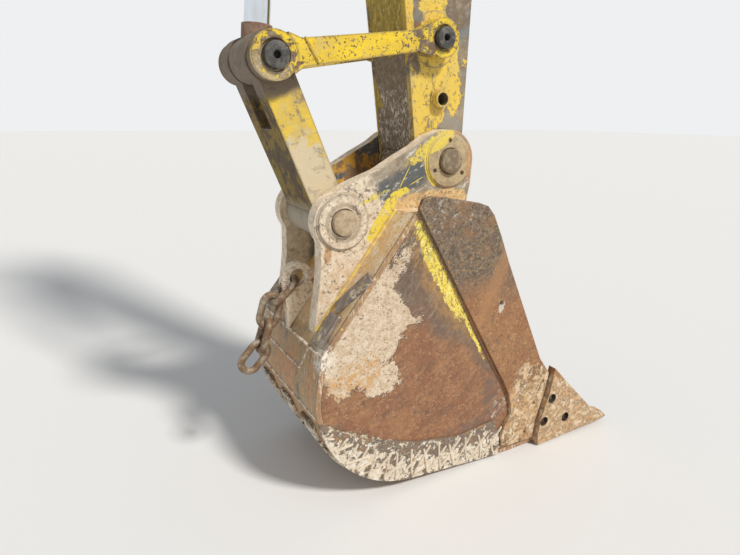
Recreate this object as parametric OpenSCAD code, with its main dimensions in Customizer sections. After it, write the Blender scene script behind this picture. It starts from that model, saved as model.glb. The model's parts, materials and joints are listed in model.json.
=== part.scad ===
// Excavator stick with its bucket cylinder, tipping links and digging bucket.
// The origin is the centre of the boom pivot bore. +X points to the machine, +Y along the pins, +Z up.

/* [Stick] */
// Boom pivot to bucket pin
stick_len = 3200; // [2900:10:3500]
// Outside width of the stick's box
stick_w = 300; // [280:2:320]
// Thickness of the side plates
stick_side_t = 16; // [10:1:24]
// Thickness of the front and rear plates
stick_flange_t = 20; // [12:1:28]
// Bucket pin to the front face, at the stick's foot
tip_front = 116; // [110:1:118]
// Bucket pin to the rear face, at the stick's foot
tip_rear = 112; // [106:1:118]
// Bucket pin to the front face, where the box is deepest
deep_front = 405; // [380:1:430]
// Height of the deepest place above the bucket pin
deep_rise = 2350; // [2200:10:2500]
// Radius of the side plates' round end at the bucket pin
tip_end_r = 122; // [116:1:126]
// How far the side plates stand out past the nose plate that wraps the foot
nose_in = 4; // [2:1:8]
// Radius of the side plates' round at the boom pivot
boom_round_r = 190; // [175:1:210]
// Boom pivot to the arm cylinder pin, along the stick
arm_pin_rise = 840; // [760:10:900]
// Boom pivot to the arm cylinder pin, towards the front
arm_pin_front = 235; // [200:5:270]
// Radius of the arm cylinder lugs' round end
arm_lug_r = 125; // [110:1:140]
// Thickness of one arm cylinder lug
arm_lug_t = 60; // [40:2:80]
// Height of the crossing pipe above the bucket pin
pipe_rise = 242; // [230:1:255]
// Outer radius of the crossing pipe
pipe_r = 34; // [28:1:36]
// Crossing pipe in front of the bucket pin
pipe_fwd = 15; // [10:1:25]
// Wall of the crossing pipe
pipe_wall = 10; // [6:1:14]
// How far the boom pivot's boss stands out of the side plate
boom_collar = 6; // [2:1:10]
// How far the crossing pipe stands out of the side plate
pipe_out = 32; // [20:1:40]

/* [Pins] */
// Diameter of the bucket pin and of the link pin
pin_d = 100; // [80:1:104]
// Diameter of the top pin, through the links and the rod eye
top_pin_d = 90; // [76:1:96]
// Diameter of the pin that carries the tipping links on the stick
idler_pin_d = 80; // [70:1:88]
// Diameter of the boom pivot bore
boom_bore_d = 110; // [90:1:120]
// Diameter of the arm cylinder bore
arm_bore_d = 95; // [80:1:105]
// Radial running clearance of a pin in its bore
pin_fit = 0.08; // [0.05:0.01:0.1]
// Side clearance between parts that turn beside each other
side_gap = 5.5; // [5.2:0.1:7]
// How far a pin end stands out
pin_proud = 20; // [12:1:26]

/* [Linkage] */
// Idler pin above the bucket pin
idler_rise = 465; // [450:1:480]
// Idler pin in front of the bucket pin
idler_fwd = 45; // [38:1:50]
// Tipping link, pin to pin
idler_len = 690; // [675:1:700]
// Thickness of one tipping link
idler_t = 60; // [50:1:64]
// Height of a tipping link's bar near the top pin
idler_h = 92; // [80:1:96]
// Height of a tipping link's bar near the stick
idler_neck = 76; // [66:1:84]
// Radius of the tipping link's boss at the stick
idler_boss_r = 73; // [66:1:76]
// Radius of the tipping link's boss at the top pin
top_boss_r = 82; // [74:1:84]
// H-link, pin to pin
hlink_len = 632; // [620:1:645]
// Depth of the H-link's body, seen from the side
hlink_d = 132; // [120:1:140]
// Radius of the H-link's fork at the top pin
fork_r = 88; // [80:1:94]
// Radius of the H-link's lower boss
hlink_boss_r = 88; // [80:1:92]
// Depth of the fork's gap below the top pin
fork_depth = 235; // [215:1:245]
// Width of the fork's gap
fork_gap = 124; // [110:1:140]

/* [Cylinder] */
// Cylinder base pin above the bucket pin
base_rise = 2780; // [2740:5:2820]
// Cylinder base pin in front of the bucket pin
base_fwd = 520; // [510:1:530]
// Rod diameter
rod_d = 95; // [80:1:100]
// Bore of the barrel
bore_d = 140; // [125:1:150]
// Wall of the barrel
barrel_wall = 17; // [12:1:22]
// Base pin to the gland's end
barrel_len = 1700; // [1600:10:1720]
// Diameter of the gland
gland_d = 200; // [186:1:206]
// Length of the gland
gland_len = 150; // [120:5:170]
// Outer radius of the rod eye
eye_r = 84; // [76:1:88]
// Length of the rod eye's neck round the rod
eye_neck = 36; // [24:1:48]
// Outer radius of the base eye
base_eye_r = 92; // [84:1:96]
// Diameter of the cylinder base pin
base_pin_d = 90; // [76:1:96]
// Thickness of one cylinder lug on the stick
base_lug_t = 40; // [30:1:50]

/* [Bucket] */
// Bucket pin to link pin
link_pin_r = 530; // [515:1:540]
// Angle of the link pin below the level of the bucket pin
link_pin_fall = 24.15; // [22:0.05:26]
// Width over the side bars
bucket_w = 750; // [700:5:800]
// Bucket pin to the floor
floor_drop = 1384; // [1350:2:1420]
// Bucket pin to the back of the bucket
back_reach = 670; // [655:1:690]
// Radius of the heel
heel_r = 478; // [440:2:500]
// How much higher the heel's centre lies than its radius above the floor
heel_lift = 38; // [28:1:48]
// Front edge of the lip, from the bucket pin
lip_reach = 991; // [960:1:1020]
// Rise of the lip's edge above the floor
lip_rise = 33; // [20:1:45]
// Thickness of the lip
lip_t = 45; // [35:1:55]
// Depth of the lip plate
lip_depth = 330; // [280:5:380]
// Thickness of the wrapper
wrap_t = 22; // [16:1:28]
// Thickness of a side panel
panel_t = 20; // [14:1:26]
// Thickness of a side bar
bar_t = 20; // [14:1:26]
// Thickness of a side cutter
cutter_t = 22; // [16:1:26]
// Thickness of a bucket ear
ear_t = 60; // [50:1:66]
// Radius of the ear at the bucket pin
ear_r = 124; // [118:1:128]
// Radius of the ear at the link pin
ear_link_r = 118; // [112:1:124]
// Thickness of a retaining ring on an ear
ring_t = 12; // [8:1:16]
// Height of the heel band's weld over the side
heel_band_t = 8; // [5:1:12]
// Thickness of the bars on the back's corners
corner_bar_t = 16; // [10:1:22]
// Thickness of the lifting eye's plate
eye_plate_t = 36; // [30:1:40]

/* [Chain] */
// Wire diameter of the chain
chain_wire = 30; // [26:1:34]
// Outside length of one link
chain_link = 165; // [150:1:175]
// Outside width of one link
chain_w = 104; // [98:1:112]

/* [Hidden] */
$fn = 72;

// Space left between pieces of one body that are welded or bolted face to face
seat = 0.02;

// Points in the side view are [x, z] from the bucket pin.
pin_z = -stick_len;
half_w = stick_w / 2;
ear_in = half_w + side_gap;
ear_out = ear_in + ear_t;
idler_in = half_w + side_gap;
idler_out = idler_in + idler_t;
idler_pt = [-idler_fwd, idler_rise];
link_pt = [-link_pin_r * cos(link_pin_fall), -link_pin_r * sin(link_pin_fall)];
base_pt = [-base_fwd, base_rise];

// The top pin lies where the tipping link's circle and the H-link's circle cross, on the front side.
q_to_l = link_pt - idler_pt;
q_l = norm(q_to_l);
along = (pow(idler_len, 2) - pow(hlink_len, 2) + pow(q_l, 2)) / (2 * q_l);
aside = sqrt(pow(idler_len, 2) - pow(along, 2));
top_pt = idler_pt + along * q_to_l / q_l + aside * [q_to_l[1], -q_to_l[0]] / q_l;

function angle_of(v) = atan2(v[1], v[0]);
rod_dir = angle_of(top_pt - base_pt);
cyl_len = norm(top_pt - base_pt);
hlink_dir = angle_of(link_pt - top_pt);
idler_dir = angle_of(top_pt - idler_pt);

boom_pt = [0, stick_len];
pipe_pt = [-pipe_fwd, pipe_rise];
arm_pt = [-arm_pin_front, stick_len + arm_pin_rise];
end_drop = 150;
knee_pt = [-deep_front, deep_rise];
head_pt = arm_pt + [-0.9 * arm_lug_r, -end_drop];
tail_pt = arm_pt + [0.9 * arm_lug_r, -end_drop];

side_out = bucket_w / 2;
panel_out = side_out - bar_t;

function arc_pts(c, r, a0, a1, n) = [for (i = [0:n]) c + r * [cos(a0 + (a1 - a0) * i / n), sin(a0 + (a1 - a0) * i / n)]];
function unit(v) = v / norm(v);
function left_of(v) = [-v[1], v[0]];
// Inward direction at point i of a line, long enough to keep an even thickness round a corner
function inward(p, i) = let (
    before = left_of(unit(i > 0 ? p[i] - p[i - 1] : p[1] - p[0])),
    after = left_of(unit(i < len(p) - 1 ? p[i + 1] - p[i] : p[i] - p[i - 1])),
    mid = unit(before + after)
) mid / (mid * before);
function moved_in(p, t) = [for (i = [0:len(p) - 1]) p[i] + t * inward(p, i)];
function turned(p) = [for (i = [len(p) - 1:-1:0]) p[i]];

// A plate in the side view, from y0 to y1 along the pins.
module across(y0, y1) {
    translate([0, y1, pin_z]) rotate([90, 0, 0]) linear_extrude(y1 - y0) children();
}

module both_sides() {
    children();
    mirror([0, 1, 0]) children();
}

module disc_at(p, r) { translate(p) circle(r); }

// Blind centre hole in a pin's ends
centre_hole_r = 13;
centre_hole_deep = 30;
module pin_holes(p, half_len) {
    both_sides() across(half_len - centre_hole_deep, half_len + 1) disc_at(p, centre_hole_r);
}

// Stick
rear_top = boom_round_r;
rear_bend = 120;
nose_front = 38;
nose_rear = 62;
nose_lap = 6;
end_trim = 1.7 * stick_flange_t;
module stick_outline() {
    union() {
            disc_at([0, 0], tip_end_r);
            disc_at(boom_pt, boom_round_r);
            polygon([
                [-tip_front, 0], knee_pt, head_pt, tail_pt,
                boom_pt + [rear_top, rear_bend], boom_pt + [rear_top, 0], [tip_rear, 0]
            ]);
    }
}

module stick_bores(extra = 0) {
    disc_at([0, 0], tip_tube_r + extra);
    disc_at(idler_pt, idler_tube_r + extra);
    disc_at(boom_pt, boom_tube_r + extra);
    disc_at(pipe_pt, pipe_r + extra);
}
tip_tube_r = 100;
idler_tube_r = 72;
boom_tube_r = 145;

module stick_side() {
    color("gold") across(half_w - stick_side_t, half_w) difference() {
        stick_outline();
        stick_bores(0.05);
    }
}
module stick_side_near() { mirror([0, 1, 0]) stick_side(); }
module stick_side_far() { stick_side(); }

// A plate of even thickness along a line in the side view, on the line's left
module plate_along(line, t) { polygon(concat(line, turned(moved_in(line, t)))); }

plate_y = half_w - stick_side_t;
foot_pt = [-tip_front, 0] + nose_front / deep_rise * (knee_pt - [-tip_front, 0]);
rear_foot = [tip_rear, 0] + nose_rear / stick_len * (boom_pt + [rear_top, 0] - [tip_rear, 0]);
// The nose plate is bent round the foot's boss, from the front plate's foot to the rear plate's.
module nose_plate() {
    nose_r = tip_end_r - nose_in;
    difference() {
        disc_at([0, 0], nose_r);
        disc_at([0, 0], tip_tube_r + seat);
        polygon([
            [-nose_r, nose_front + nose_lap], [0, nose_front + nose_lap], [0, nose_rear - seat],
            [nose_r, nose_rear - seat], [nose_r, 2 * nose_r], [-nose_r, 2 * nose_r]
        ]);
    }
}
module stick_front_plate() {
    color("goldenrod") across(-plate_y, plate_y) {
        plate_along([head_pt, knee_pt, foot_pt], stick_flange_t);
        nose_plate();
    }
}
module stick_rear_plate() {
    color("goldenrod") across(-plate_y, plate_y)
        plate_along([rear_foot, boom_pt + [rear_top, 0], boom_pt + [rear_top, rear_bend], tail_pt], stick_flange_t);
}
module stick_end_plate() {
    run = unit(head_pt - tail_pt);
    color("goldenrod") across(-plate_y, plate_y)
        plate_along([tail_pt + end_trim * run, head_pt - end_trim * run], stick_flange_t);
}

module stick_tube(p, r_out, r_in, half_len) {
    color("dimgray") across(-half_len, half_len) difference() {
        disc_at(p, r_out);
        disc_at(p, r_in);
    }
}
module stick_tip_boss() { stick_tube([0, 0], tip_tube_r, pin_d / 2 + pin_fit, half_w); }
module idler_boss() { stick_tube(idler_pt, idler_tube_r, idler_pin_d / 2 + pin_fit, half_w); }
module boom_boss() { stick_tube(boom_pt, boom_tube_r, boom_bore_d / 2, half_w + boom_collar); }
module crossing_pipe() {
    color("gold") stick_tube(pipe_pt, pipe_r, pipe_r - pipe_wall, half_w + pipe_out);
}

arm_gap = 130;
module arm_cylinder_lugs() {
    color("gold") both_sides() across(arm_gap / 2, arm_gap / 2 + arm_lug_t) difference() {
        union() {
            disc_at(arm_pt, arm_lug_r);
            polygon([
                arm_pt + [-arm_lug_r, 0], head_pt + [2, 0.3], tail_pt + [-2, 0.3], arm_pt + [arm_lug_r, 0]
            ]);
        }
        disc_at(arm_pt, arm_bore_d / 2);
    }
}

base_eye_half = 62;
base_lug_in = base_eye_half + side_gap;
head_dir = (head_pt - knee_pt) / norm(head_pt - knee_pt);
base_along = (base_pt - knee_pt) * head_dir;
base_foot = knee_pt + base_along * head_dir;
module cylinder_lugs() {
    color("gold") both_sides() across(base_lug_in, base_lug_in + base_lug_t) difference() {
        union() {
            disc_at(base_pt, base_eye_r);
            polygon([
                base_pt + base_eye_r * left_of(head_dir), base_foot + 240 * head_dir + 0.3 * left_of(head_dir),
                base_foot - 150 * head_dir + 0.3 * left_of(head_dir), base_pt + base_eye_r * [0.62, -0.78]
            ]);
        }
        disc_at(base_pt, base_pin_d / 2 + pin_fit);
    }
}
module cylinder_base_pin() {
    half_len = base_lug_in + base_lug_t + pin_proud;
    color("dimgray") difference() {
        across(-half_len, half_len) disc_at(base_pt, base_pin_d / 2);
        pin_holes(base_pt, half_len);
    }
}
module idler_pin() {
    half_len = idler_out + pin_proud;
    color("dimgray") difference() {
        across(-half_len, half_len) disc_at(idler_pt, idler_pin_d / 2);
        pin_holes(idler_pt, half_len);
    }
}

// Cylinder, drawn along +X from the base pin and turned into place
module on_cylinder() {
    translate([base_pt[0], 0, pin_z + base_pt[1]]) rotate([0, -rod_dir, 0]) children();
}
module along_x(x0, x1, r) { translate([x0, 0, 0]) rotate([0, 90, 0]) cylinder(h = x1 - x0, r = r); }
barrel_r = bore_d / 2 + barrel_wall;
barrel_start = base_eye_r + 38;
neck_r = base_eye_half - 2;
module barrel() {
    color("gold") on_cylinder() difference() {
        union() {
            along_x(0, barrel_start, neck_r);
            along_x(barrel_start, barrel_len - gland_len, barrel_r);
            rotate([90, 0, 0]) cylinder(h = 2 * base_eye_half, r = base_eye_r, center = true);
        }
        along_x(barrel_start + 30, barrel_len, bore_d / 2);
        rotate([90, 0, 0]) cylinder(h = 4 * base_eye_half, r = base_pin_d / 2 + pin_fit, center = true);
    }
}
gland_bolts = 8;
gland_bolt_r = 11;
gland_bolt_h = 12;
module gland() {
    bolt_ring = (rod_d / 2 + gland_d / 2) / 2 + 4;
    color("gold") on_cylinder() {
        difference() {
            along_x(barrel_len - gland_len, barrel_len, gland_d / 2);
            along_x(barrel_len - gland_len - 1, barrel_len + 1, rod_d / 2 + pin_fit);
        }
        for (i = [0:gland_bolts - 1]) rotate([360 * i / gland_bolts, 0, 0]) translate([0, 0, bolt_ring])
            along_x(barrel_len - 1, barrel_len + gland_bolt_h, gland_bolt_r);
    }
}
// Oil pipes beside the barrel, on its side towards the stick, held by clamps and end blocks
oil_pipe_r = 17;
oil_pipe_off = 76;
oil_pipe_start = 180;
clamp_len = 50;
clamp_in = 50;
clamp_size = oil_pipe_off + oil_pipe_r + 4 - clamp_in;
oil_pipe_end = barrel_len - gland_len - 20;
module oil_pipes() {
    color("gold") on_cylinder() both_sides() {
        translate([0, oil_pipe_off, oil_pipe_off])
            along_x(oil_pipe_start + clamp_len / 2, oil_pipe_end - clamp_len / 2, oil_pipe_r);
        for (x = [oil_pipe_start, 560, 980, oil_pipe_end - clamp_len]) difference() {
            translate([x, clamp_in, clamp_in]) cube([clamp_len, clamp_size, clamp_size]);
            along_x(x - 1, x + clamp_len + 1, barrel_r + seat);
        }
    }
}
rod_in = 1560;
module rod() {
    color("lightsteelblue") on_cylinder() along_x(cyl_len - rod_in, cyl_len - eye_r + 6, rod_d / 2);
}
eye_half = fork_gap / 2 - side_gap;
eye_neck_r = eye_half - 1;
module rod_eye() {
    neck_start = cyl_len - eye_r - eye_neck;
    color("saddlebrown") on_cylinder() difference() {
        union() {
            translate([cyl_len, 0, 0]) rotate([90, 0, 0]) cylinder(h = 2 * eye_half, r = eye_r, center = true);
            along_x(neck_start, cyl_len - eye_r / 2, eye_neck_r);
        }
        translate([cyl_len, 0, 0]) rotate([90, 0, 0])
            cylinder(h = 4 * eye_half, r = top_pin_d / 2 + pin_fit, center = true);
        along_x(0, cyl_len - eye_r + 6, rod_d / 2);
    }
}
module eye_pin() {
    color("dimgray") across(-eye_half, eye_half) disc_at(top_pt, top_pin_d / 2);
}

// Tipping links
module link_bar(a, b, h) {
    d = (b - a) / norm(b - a);
    n = [-d[1], d[0]] * h / 2;
    polygon([a + n, b + n, b - n, a - n]);
}
// The bar's half height at distances from the stick's pin; it flares into both bosses.
idler_line = [
    [0.6 * idler_boss_r, 0.83 * idler_boss_r], [1.05 * idler_boss_r, 0.72 * idler_boss_r],
    [1.6 * idler_boss_r, idler_neck / 2], [idler_len - 1.25 * top_boss_r, idler_h / 2],
    [idler_len - 0.7 * top_boss_r, 0.83 * top_boss_r]
];
recess_deep = 10;
recess_wide = 9;
module idler_side() {
    d = unit(top_pt - idler_pt);
    n = left_of(d);
    color("yellow") difference() {
        across(idler_in, idler_out) difference() {
            union() {
                disc_at(idler_pt, idler_boss_r);
                disc_at(top_pt, top_boss_r);
                polygon(concat(
                    [for (q = idler_line) idler_pt + q[0] * d + q[1] * n],
                    turned([for (q = idler_line) idler_pt + q[0] * d - q[1] * n])
                ));
            }
            disc_at(idler_pt, idler_pin_d / 2 + pin_fit);
            disc_at(top_pt, top_pin_d / 2 + pin_fit);
        }
        across(idler_out - recess_deep, idler_out + 1) {
            disc_at(top_pt, top_pin_d / 2 + recess_wide);
            disc_at(idler_pt, idler_pin_d / 2 + recess_wide);
        }
    }
}
module idler_near() { mirror([0, 1, 0]) idler_side(); }
module idler_far() { idler_side(); }
module top_pin_end() {
    color("dimgray") difference() {
        across(idler_in, idler_out + pin_proud) disc_at(top_pt, top_pin_d / 2);
        pin_holes(top_pt, idler_out + pin_proud);
    }
}
module top_pin_near() { mirror([0, 1, 0]) top_pin_end(); }
module top_pin_far() { top_pin_end(); }

// H-link
hlink_u = (link_pt - top_pt) / hlink_len;
module hlink() {
    color("gold") difference() {
        union() {
            across(-half_w, half_w) difference() {
                union() {
                    disc_at(top_pt, fork_r);
                    disc_at(link_pt, hlink_boss_r);
                    link_bar(top_pt, link_pt, hlink_d);
                }
                disc_at(link_pt, pin_d / 2 + pin_fit);
                disc_at(top_pt, top_pin_d / 2 + pin_fit);
            }
        }
        across(-fork_gap / 2, fork_gap / 2) link_bar(top_pt - 1.2 * fork_r * hlink_u, top_pt + fork_depth * hlink_u,
            4 * fork_r);
    }
}
module fork_pins() {
    color("dimgray") both_sides() across(fork_gap / 2, half_w) disc_at(top_pt, top_pin_d / 2);
}

// Bucket shell in the side view
heel_steps = 24;
heel_c = [-back_reach + heel_r, -floor_drop + heel_r + heel_lift];
floor_fall = 4;
floor_a = heel_c + heel_r * [-sin(floor_fall), -cos(floor_fall)];
floor_b = [(floor_drop + floor_a[1]) / tan(floor_fall) + floor_a[0], -floor_drop];
lip_pt = [lip_reach, -floor_drop + lip_rise];
top_edge = [100, -190];
apex = [-248, -182];
shoulder = heel_c + [30 - heel_r, 178];
// Outer line of the shell, from the top edge down the back and along the floor
shell = concat(
    [top_edge, apex, shoulder],
    arc_pts(heel_c, heel_r, 180, 270 - floor_fall, heel_steps),
    [floor_b, lip_pt]
);
module shell_area(t) { polygon(moved_in(shell, t)); }
// A point of the bucket's side, measured back from the lip's edge and up from the floor
function from_lip(back, rise) = [lip_reach - back, -floor_drop + rise];

// Bucket ears: a round at each pin and a rib that runs down the wrapper's back
pin_run = link_pt / link_pin_r;
pin_up = -left_of(pin_run);
// Upper edge of an ear: distance along the line of the pins and height above it
ear_line = [[-14, 129], [60, 136], [121, 124], [213, 120], [314, 111], [449, 122], [532, 117], [628, 66]];
// Rear edge of an ear, from the shoulder
ear_back = [[64, 390], [63, 290], [54, 210], [40, 125], [33, 60], [28, 0]];
module ear_outline() {
    disc_at([0, 0], ear_r);
    disc_at(link_pt, ear_link_r);
    polygon(concat(
        [for (q = ear_line) q[0] * pin_run + q[1] * pin_up],
        [for (q = ear_back) shoulder + q],
        [apex, top_edge, [0.95 * ear_r, -0.81 * ear_r], [ear_r, 0]]
    ));
}
module ear() {
    color("tan") across(ear_in, ear_out) difference() {
        ear_outline();
        disc_at([0, 0], pin_d / 2 + pin_fit);
        disc_at(link_pt, pin_d / 2 + pin_fit);
        shell_area(-seat);
    }
}
module ear_near() { mirror([0, 1, 0]) ear(); }
module ear_far() { ear(); }
ring_r = 105;
ring_hole_r = 9;
ring_hole_at = 82;
module ear_rings() {
    color("tan") both_sides() across(ear_out, ear_out + ring_t) {
        difference() {
            disc_at([0, 0], ring_r);
            disc_at([0, 0], pin_d / 2 + pin_fit);
            for (a = [92, 207, 322]) disc_at(ring_hole_at * [cos(a), sin(a)], ring_hole_r);
        }
        difference() {
            disc_at(link_pt, ring_r);
            disc_at(link_pt, pin_d / 2 + pin_fit);
        }
    }
}
module bucket_pin() {
    color("dimgray") across(-ear_out - ring_t - pin_proud, ear_out + ring_t + pin_proud) disc_at([0, 0], pin_d / 2);
}
module link_pin() {
    color("dimgray") across(-ear_out - ring_t - pin_proud, ear_out + ring_t + pin_proud) disc_at(link_pt, pin_d / 2);
}

wrap_end = len(shell) - 1;
wrap_line = concat([for (i = [0:wrap_end - 1]) shell[i]], [lip_pt - (lip_depth + seat) * unit(lip_pt - floor_b)]);
module wrapper() {
    color("saddlebrown") across(-panel_out, panel_out)
        polygon(concat(wrap_line, turned(moved_in(wrap_line, wrap_t))));
}

// Lip, with a bevel on top
lip_run = unit(lip_pt - floor_b);
lip_up = left_of(lip_run);
lip_heel = lip_pt - lip_depth * lip_run;
lip_flat = 0.6 * lip_depth;
lip_nose = [30, 18];
lip_top = [lip_heel + lip_t * lip_up, lip_heel + lip_t * lip_up + lip_flat * lip_run,
    lip_pt - lip_nose[0] * lip_run + lip_nose[1] * lip_up];
module lip() {
    color("sienna") across(-panel_out, panel_out) polygon(concat([lip_pt, lip_heel], lip_top));
}

// Side panel, with its corner running forward over the lip
module side_panel() {
    color("sienna") across(panel_out - panel_t, panel_out) intersection() {
        shell_area(wrap_t + seat);
        polygon([
            apex + [-700, 200], top_edge + [-60, 200], top_edge + [-60, -20], from_lip(465, 400),
            from_lip(285, 225), from_lip(140, 88), lip_top[1] + seat * lip_up,
            lip_top[0] + seat * (lip_up - lip_run), lip_heel - seat * lip_run, lip_heel - 200 * lip_up,
            from_lip(1700, -200)
        ]);
    }
}
module side_panel_near() { mirror([0, 1, 0]) side_panel(); }
module side_panel_far() { side_panel(); }

// Side bar over the panel, from the ear down to the heel band
bar_holes = [[786, 783, 11], [485, 339, 8], [532, 234, 8], [575, 88, 8]];
module side_bar() {
    color("peru") across(panel_out, side_out) difference() {
        polygon([
            apex + [9, 21], apex + [26, 57], apex + [62, 66], apex + [132, 58], top_edge + [-53, 35],
            top_edge + [-6, 19], top_edge + [29, -20], top_edge + [73, -107], top_edge + [128, -230],
            from_lip(519, 466), from_lip(450, 378), from_lip(465, 286), from_lip(509, 146), from_lip(523, 44),
            from_lip(723, 44), from_lip(723, 106), from_lip(709, 166), from_lip(676, 209), from_lip(681, 263),
            from_lip(706, 336), from_lip(742, 406), from_lip(763, 436)
        ]);
        for (h = bar_holes) disc_at(from_lip(h[0], h[1]), h[2]);
    }
}
module side_bar_near() { mirror([0, 1, 0]) side_bar(); }
module side_bar_far() { side_bar(); }

// Heel band: its upper edge by angle about the heel's centre and share of the heel's radius
band_line = [[186, 1.1], [193.4, 0.957], [201.2, 0.866], [213.7, 0.749], [229.5, 0.663], [268.5, 0.632]];
module heel_band() {
    color("gray") across(panel_out, panel_out + heel_band_t) intersection() {
        shell_area(0);
        polygon(concat(
            [for (q = band_line) heel_c + q[1] * heel_r * [cos(q[0]), sin(q[0])]],
            [from_lip(975, 177), from_lip(773, 200), from_lip(725, 106), from_lip(725, -100)],
            [from_lip(1700, -100)]
        ));
    }
}
module heel_band_near() { mirror([0, 1, 0]) heel_band(); }
module heel_band_far() { heel_band(); }

// Side cutter in front of the bar, with a slot between them
cutter_holes = [[434, 244], [474, 130], [328, 116]];
cutter_hole_r = 24;
cutter_bolt_r = 17;
bolt_sunk = 14;
module cutter() {
    color("peru") across(panel_out, side_out + cutter_t) difference() {
        polygon([
            from_lip(434, 404), from_lip(275, 247), from_lip(129, 107), from_lip(64, 84), from_lip(18, 42),
            lip_pt - 46 * lip_run, lip_pt - 243 * lip_run, lip_pt - 500 * lip_run, from_lip(508, 44),
            from_lip(497, 146), from_lip(453, 286)
        ]);
        for (h = cutter_holes) disc_at(from_lip(h[0], h[1]), cutter_hole_r);
    }
}
module cutter_near() { mirror([0, 1, 0]) cutter(); }
module cutter_far() { cutter(); }
module cutter_bolts() {
    color("dimgray") both_sides() across(panel_out, side_out + cutter_t - bolt_sunk)
        for (h = cutter_holes) disc_at(from_lip(h[0], h[1]), cutter_bolt_r);
}

// Plate between the ears, over the shell's top edge
hinge_plate_t = 26;
module hinge_plate() {
    color("saddlebrown") across(-ear_in, ear_in) polygon([
        top_edge, apex + [10, 0], apex + [10, hinge_plate_t], top_edge + [0, hinge_plate_t]
    ]);
}

// Wear strips round the heel, side by side
strip_t = 14;
strip_w = 120;
module wear_strips() {
    color("gray") for (y = [-2, 0, 2]) across(strip_w * (y - 0.5), strip_w * (y + 0.5)) intersection() {
        difference() {
            disc_at(heel_c, heel_r + strip_t);
            disc_at(heel_c, heel_r);
        }
        polygon(concat([heel_c], [for (a = [195, 225, 255]) heel_c + 2 * heel_r * [cos(a), sin(a)]]));
    }
}

// Short bars on the wrapper's slanted back: distance down the slope, place along the pins, length, width, turn
back_bars = [[376, -304, 190, 60, 26], [550, -286, 140, 76, -3]];
module corner_bars() {
    color("dimgray") both_sides() translate([apex[0], 0, pin_z + apex[1]])
        rotate([0, -angle_of(shoulder - apex), 0])
            for (b = back_bars) translate([b[0], b[1], -corner_bar_t / 2 - seat]) rotate([0, 0, b[4]])
                cube([b[2], b[3], corner_bar_t], center = true);
}

// Lifting eye and chain on the back
eye_hole = [-594, -471];
eye_hole_r = 36;
eye_round_r = 65;
module lifting_eye() {
    color("tan") across(-eye_plate_t / 2, eye_plate_t / 2) difference() {
        union() {
            disc_at(eye_hole, eye_round_r);
            polygon([
                eye_hole + [-eye_round_r, 0], shoulder + [0, -30], shoulder + [80, -70], apex + [-182, -338],
                eye_hole + [55, 28]
            ]);
        }
        disc_at(eye_hole, eye_hole_r);
        shell_area(-seat);
    }
}
wire_r = chain_wire / 2;
link_half = (chain_link - chain_w) / 2;
link_round = chain_w / 2 - wire_r;
module chain_loop() {
    // One oval link, its long axis along X, lying in the XY plane
    for (s = [-1, 1]) {
        translate([s * link_half, 0, 0]) rotate([0, 0, s * 90 - 180]) rotate_extrude(angle = 180, $fn = 24)
            translate([link_round, 0]) circle(wire_r, $fn = 14);
        translate([-link_half, s * link_round, 0]) rotate([0, 90, 0]) cylinder(h = 2 * link_half, r = wire_r, $fn = 14);
    }
}
// Each link hangs inside the one before it, with the wires a seat apart, and leans by its own angle.
// The first link straddles the eye's plate.
chain_seat = 0.3;
link_lean = [222, 254, 252, 227];
link_hook = sqrt(pow(link_round - wire_r, 2) - pow(eye_plate_t / 2, 2));
function lean(i) = [cos(link_lean[i]), sin(link_lean[i])];
far_reach = link_half + 2 * link_round - chain_wire - chain_seat;
link_1 = eye_hole + (eye_hole_r + link_hook + link_half - chain_seat) * lean(0);
link_2 = link_1 + far_reach * lean(0) + link_half * lean(1);
link_3 = link_2 + link_half * lean(1) + far_reach * lean(2);
link_4 = link_3 + far_reach * lean(2) + link_half * lean(3);
module chain() {
    places = [link_1, link_2, link_3, link_4];
    color("sienna") for (i = [0:3]) translate([places[i][0], 0, pin_z + places[i][1]])
        rotate([0, -link_lean[i], 0]) rotate([90 * (i % 2), 0, 0]) chain_loop();
}

stick_side_near();
stick_side_far();
stick_front_plate();
stick_rear_plate();
stick_end_plate();
stick_tip_boss();
idler_boss();
boom_boss();
crossing_pipe();
arm_cylinder_lugs();
cylinder_lugs();
cylinder_base_pin();
idler_pin();
barrel();
gland();
oil_pipes();
rod();
rod_eye();
eye_pin();
idler_near();
idler_far();
top_pin_near();
top_pin_far();
hlink();
fork_pins();
ear_near();
ear_far();
ear_rings();
bucket_pin();
link_pin();
hinge_plate();
wrapper();
side_panel_near();
side_panel_far();
side_bar_near();
side_bar_far();
heel_band_near();
heel_band_far();
lip();
cutter_near();
cutter_far();
cutter_bolts();
wear_strips();
corner_bars();
lifting_eye();
chain();
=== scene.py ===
import json
import math

import bmesh
import bpy
import numpy as np
from mathutils import Matrix, Vector

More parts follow.
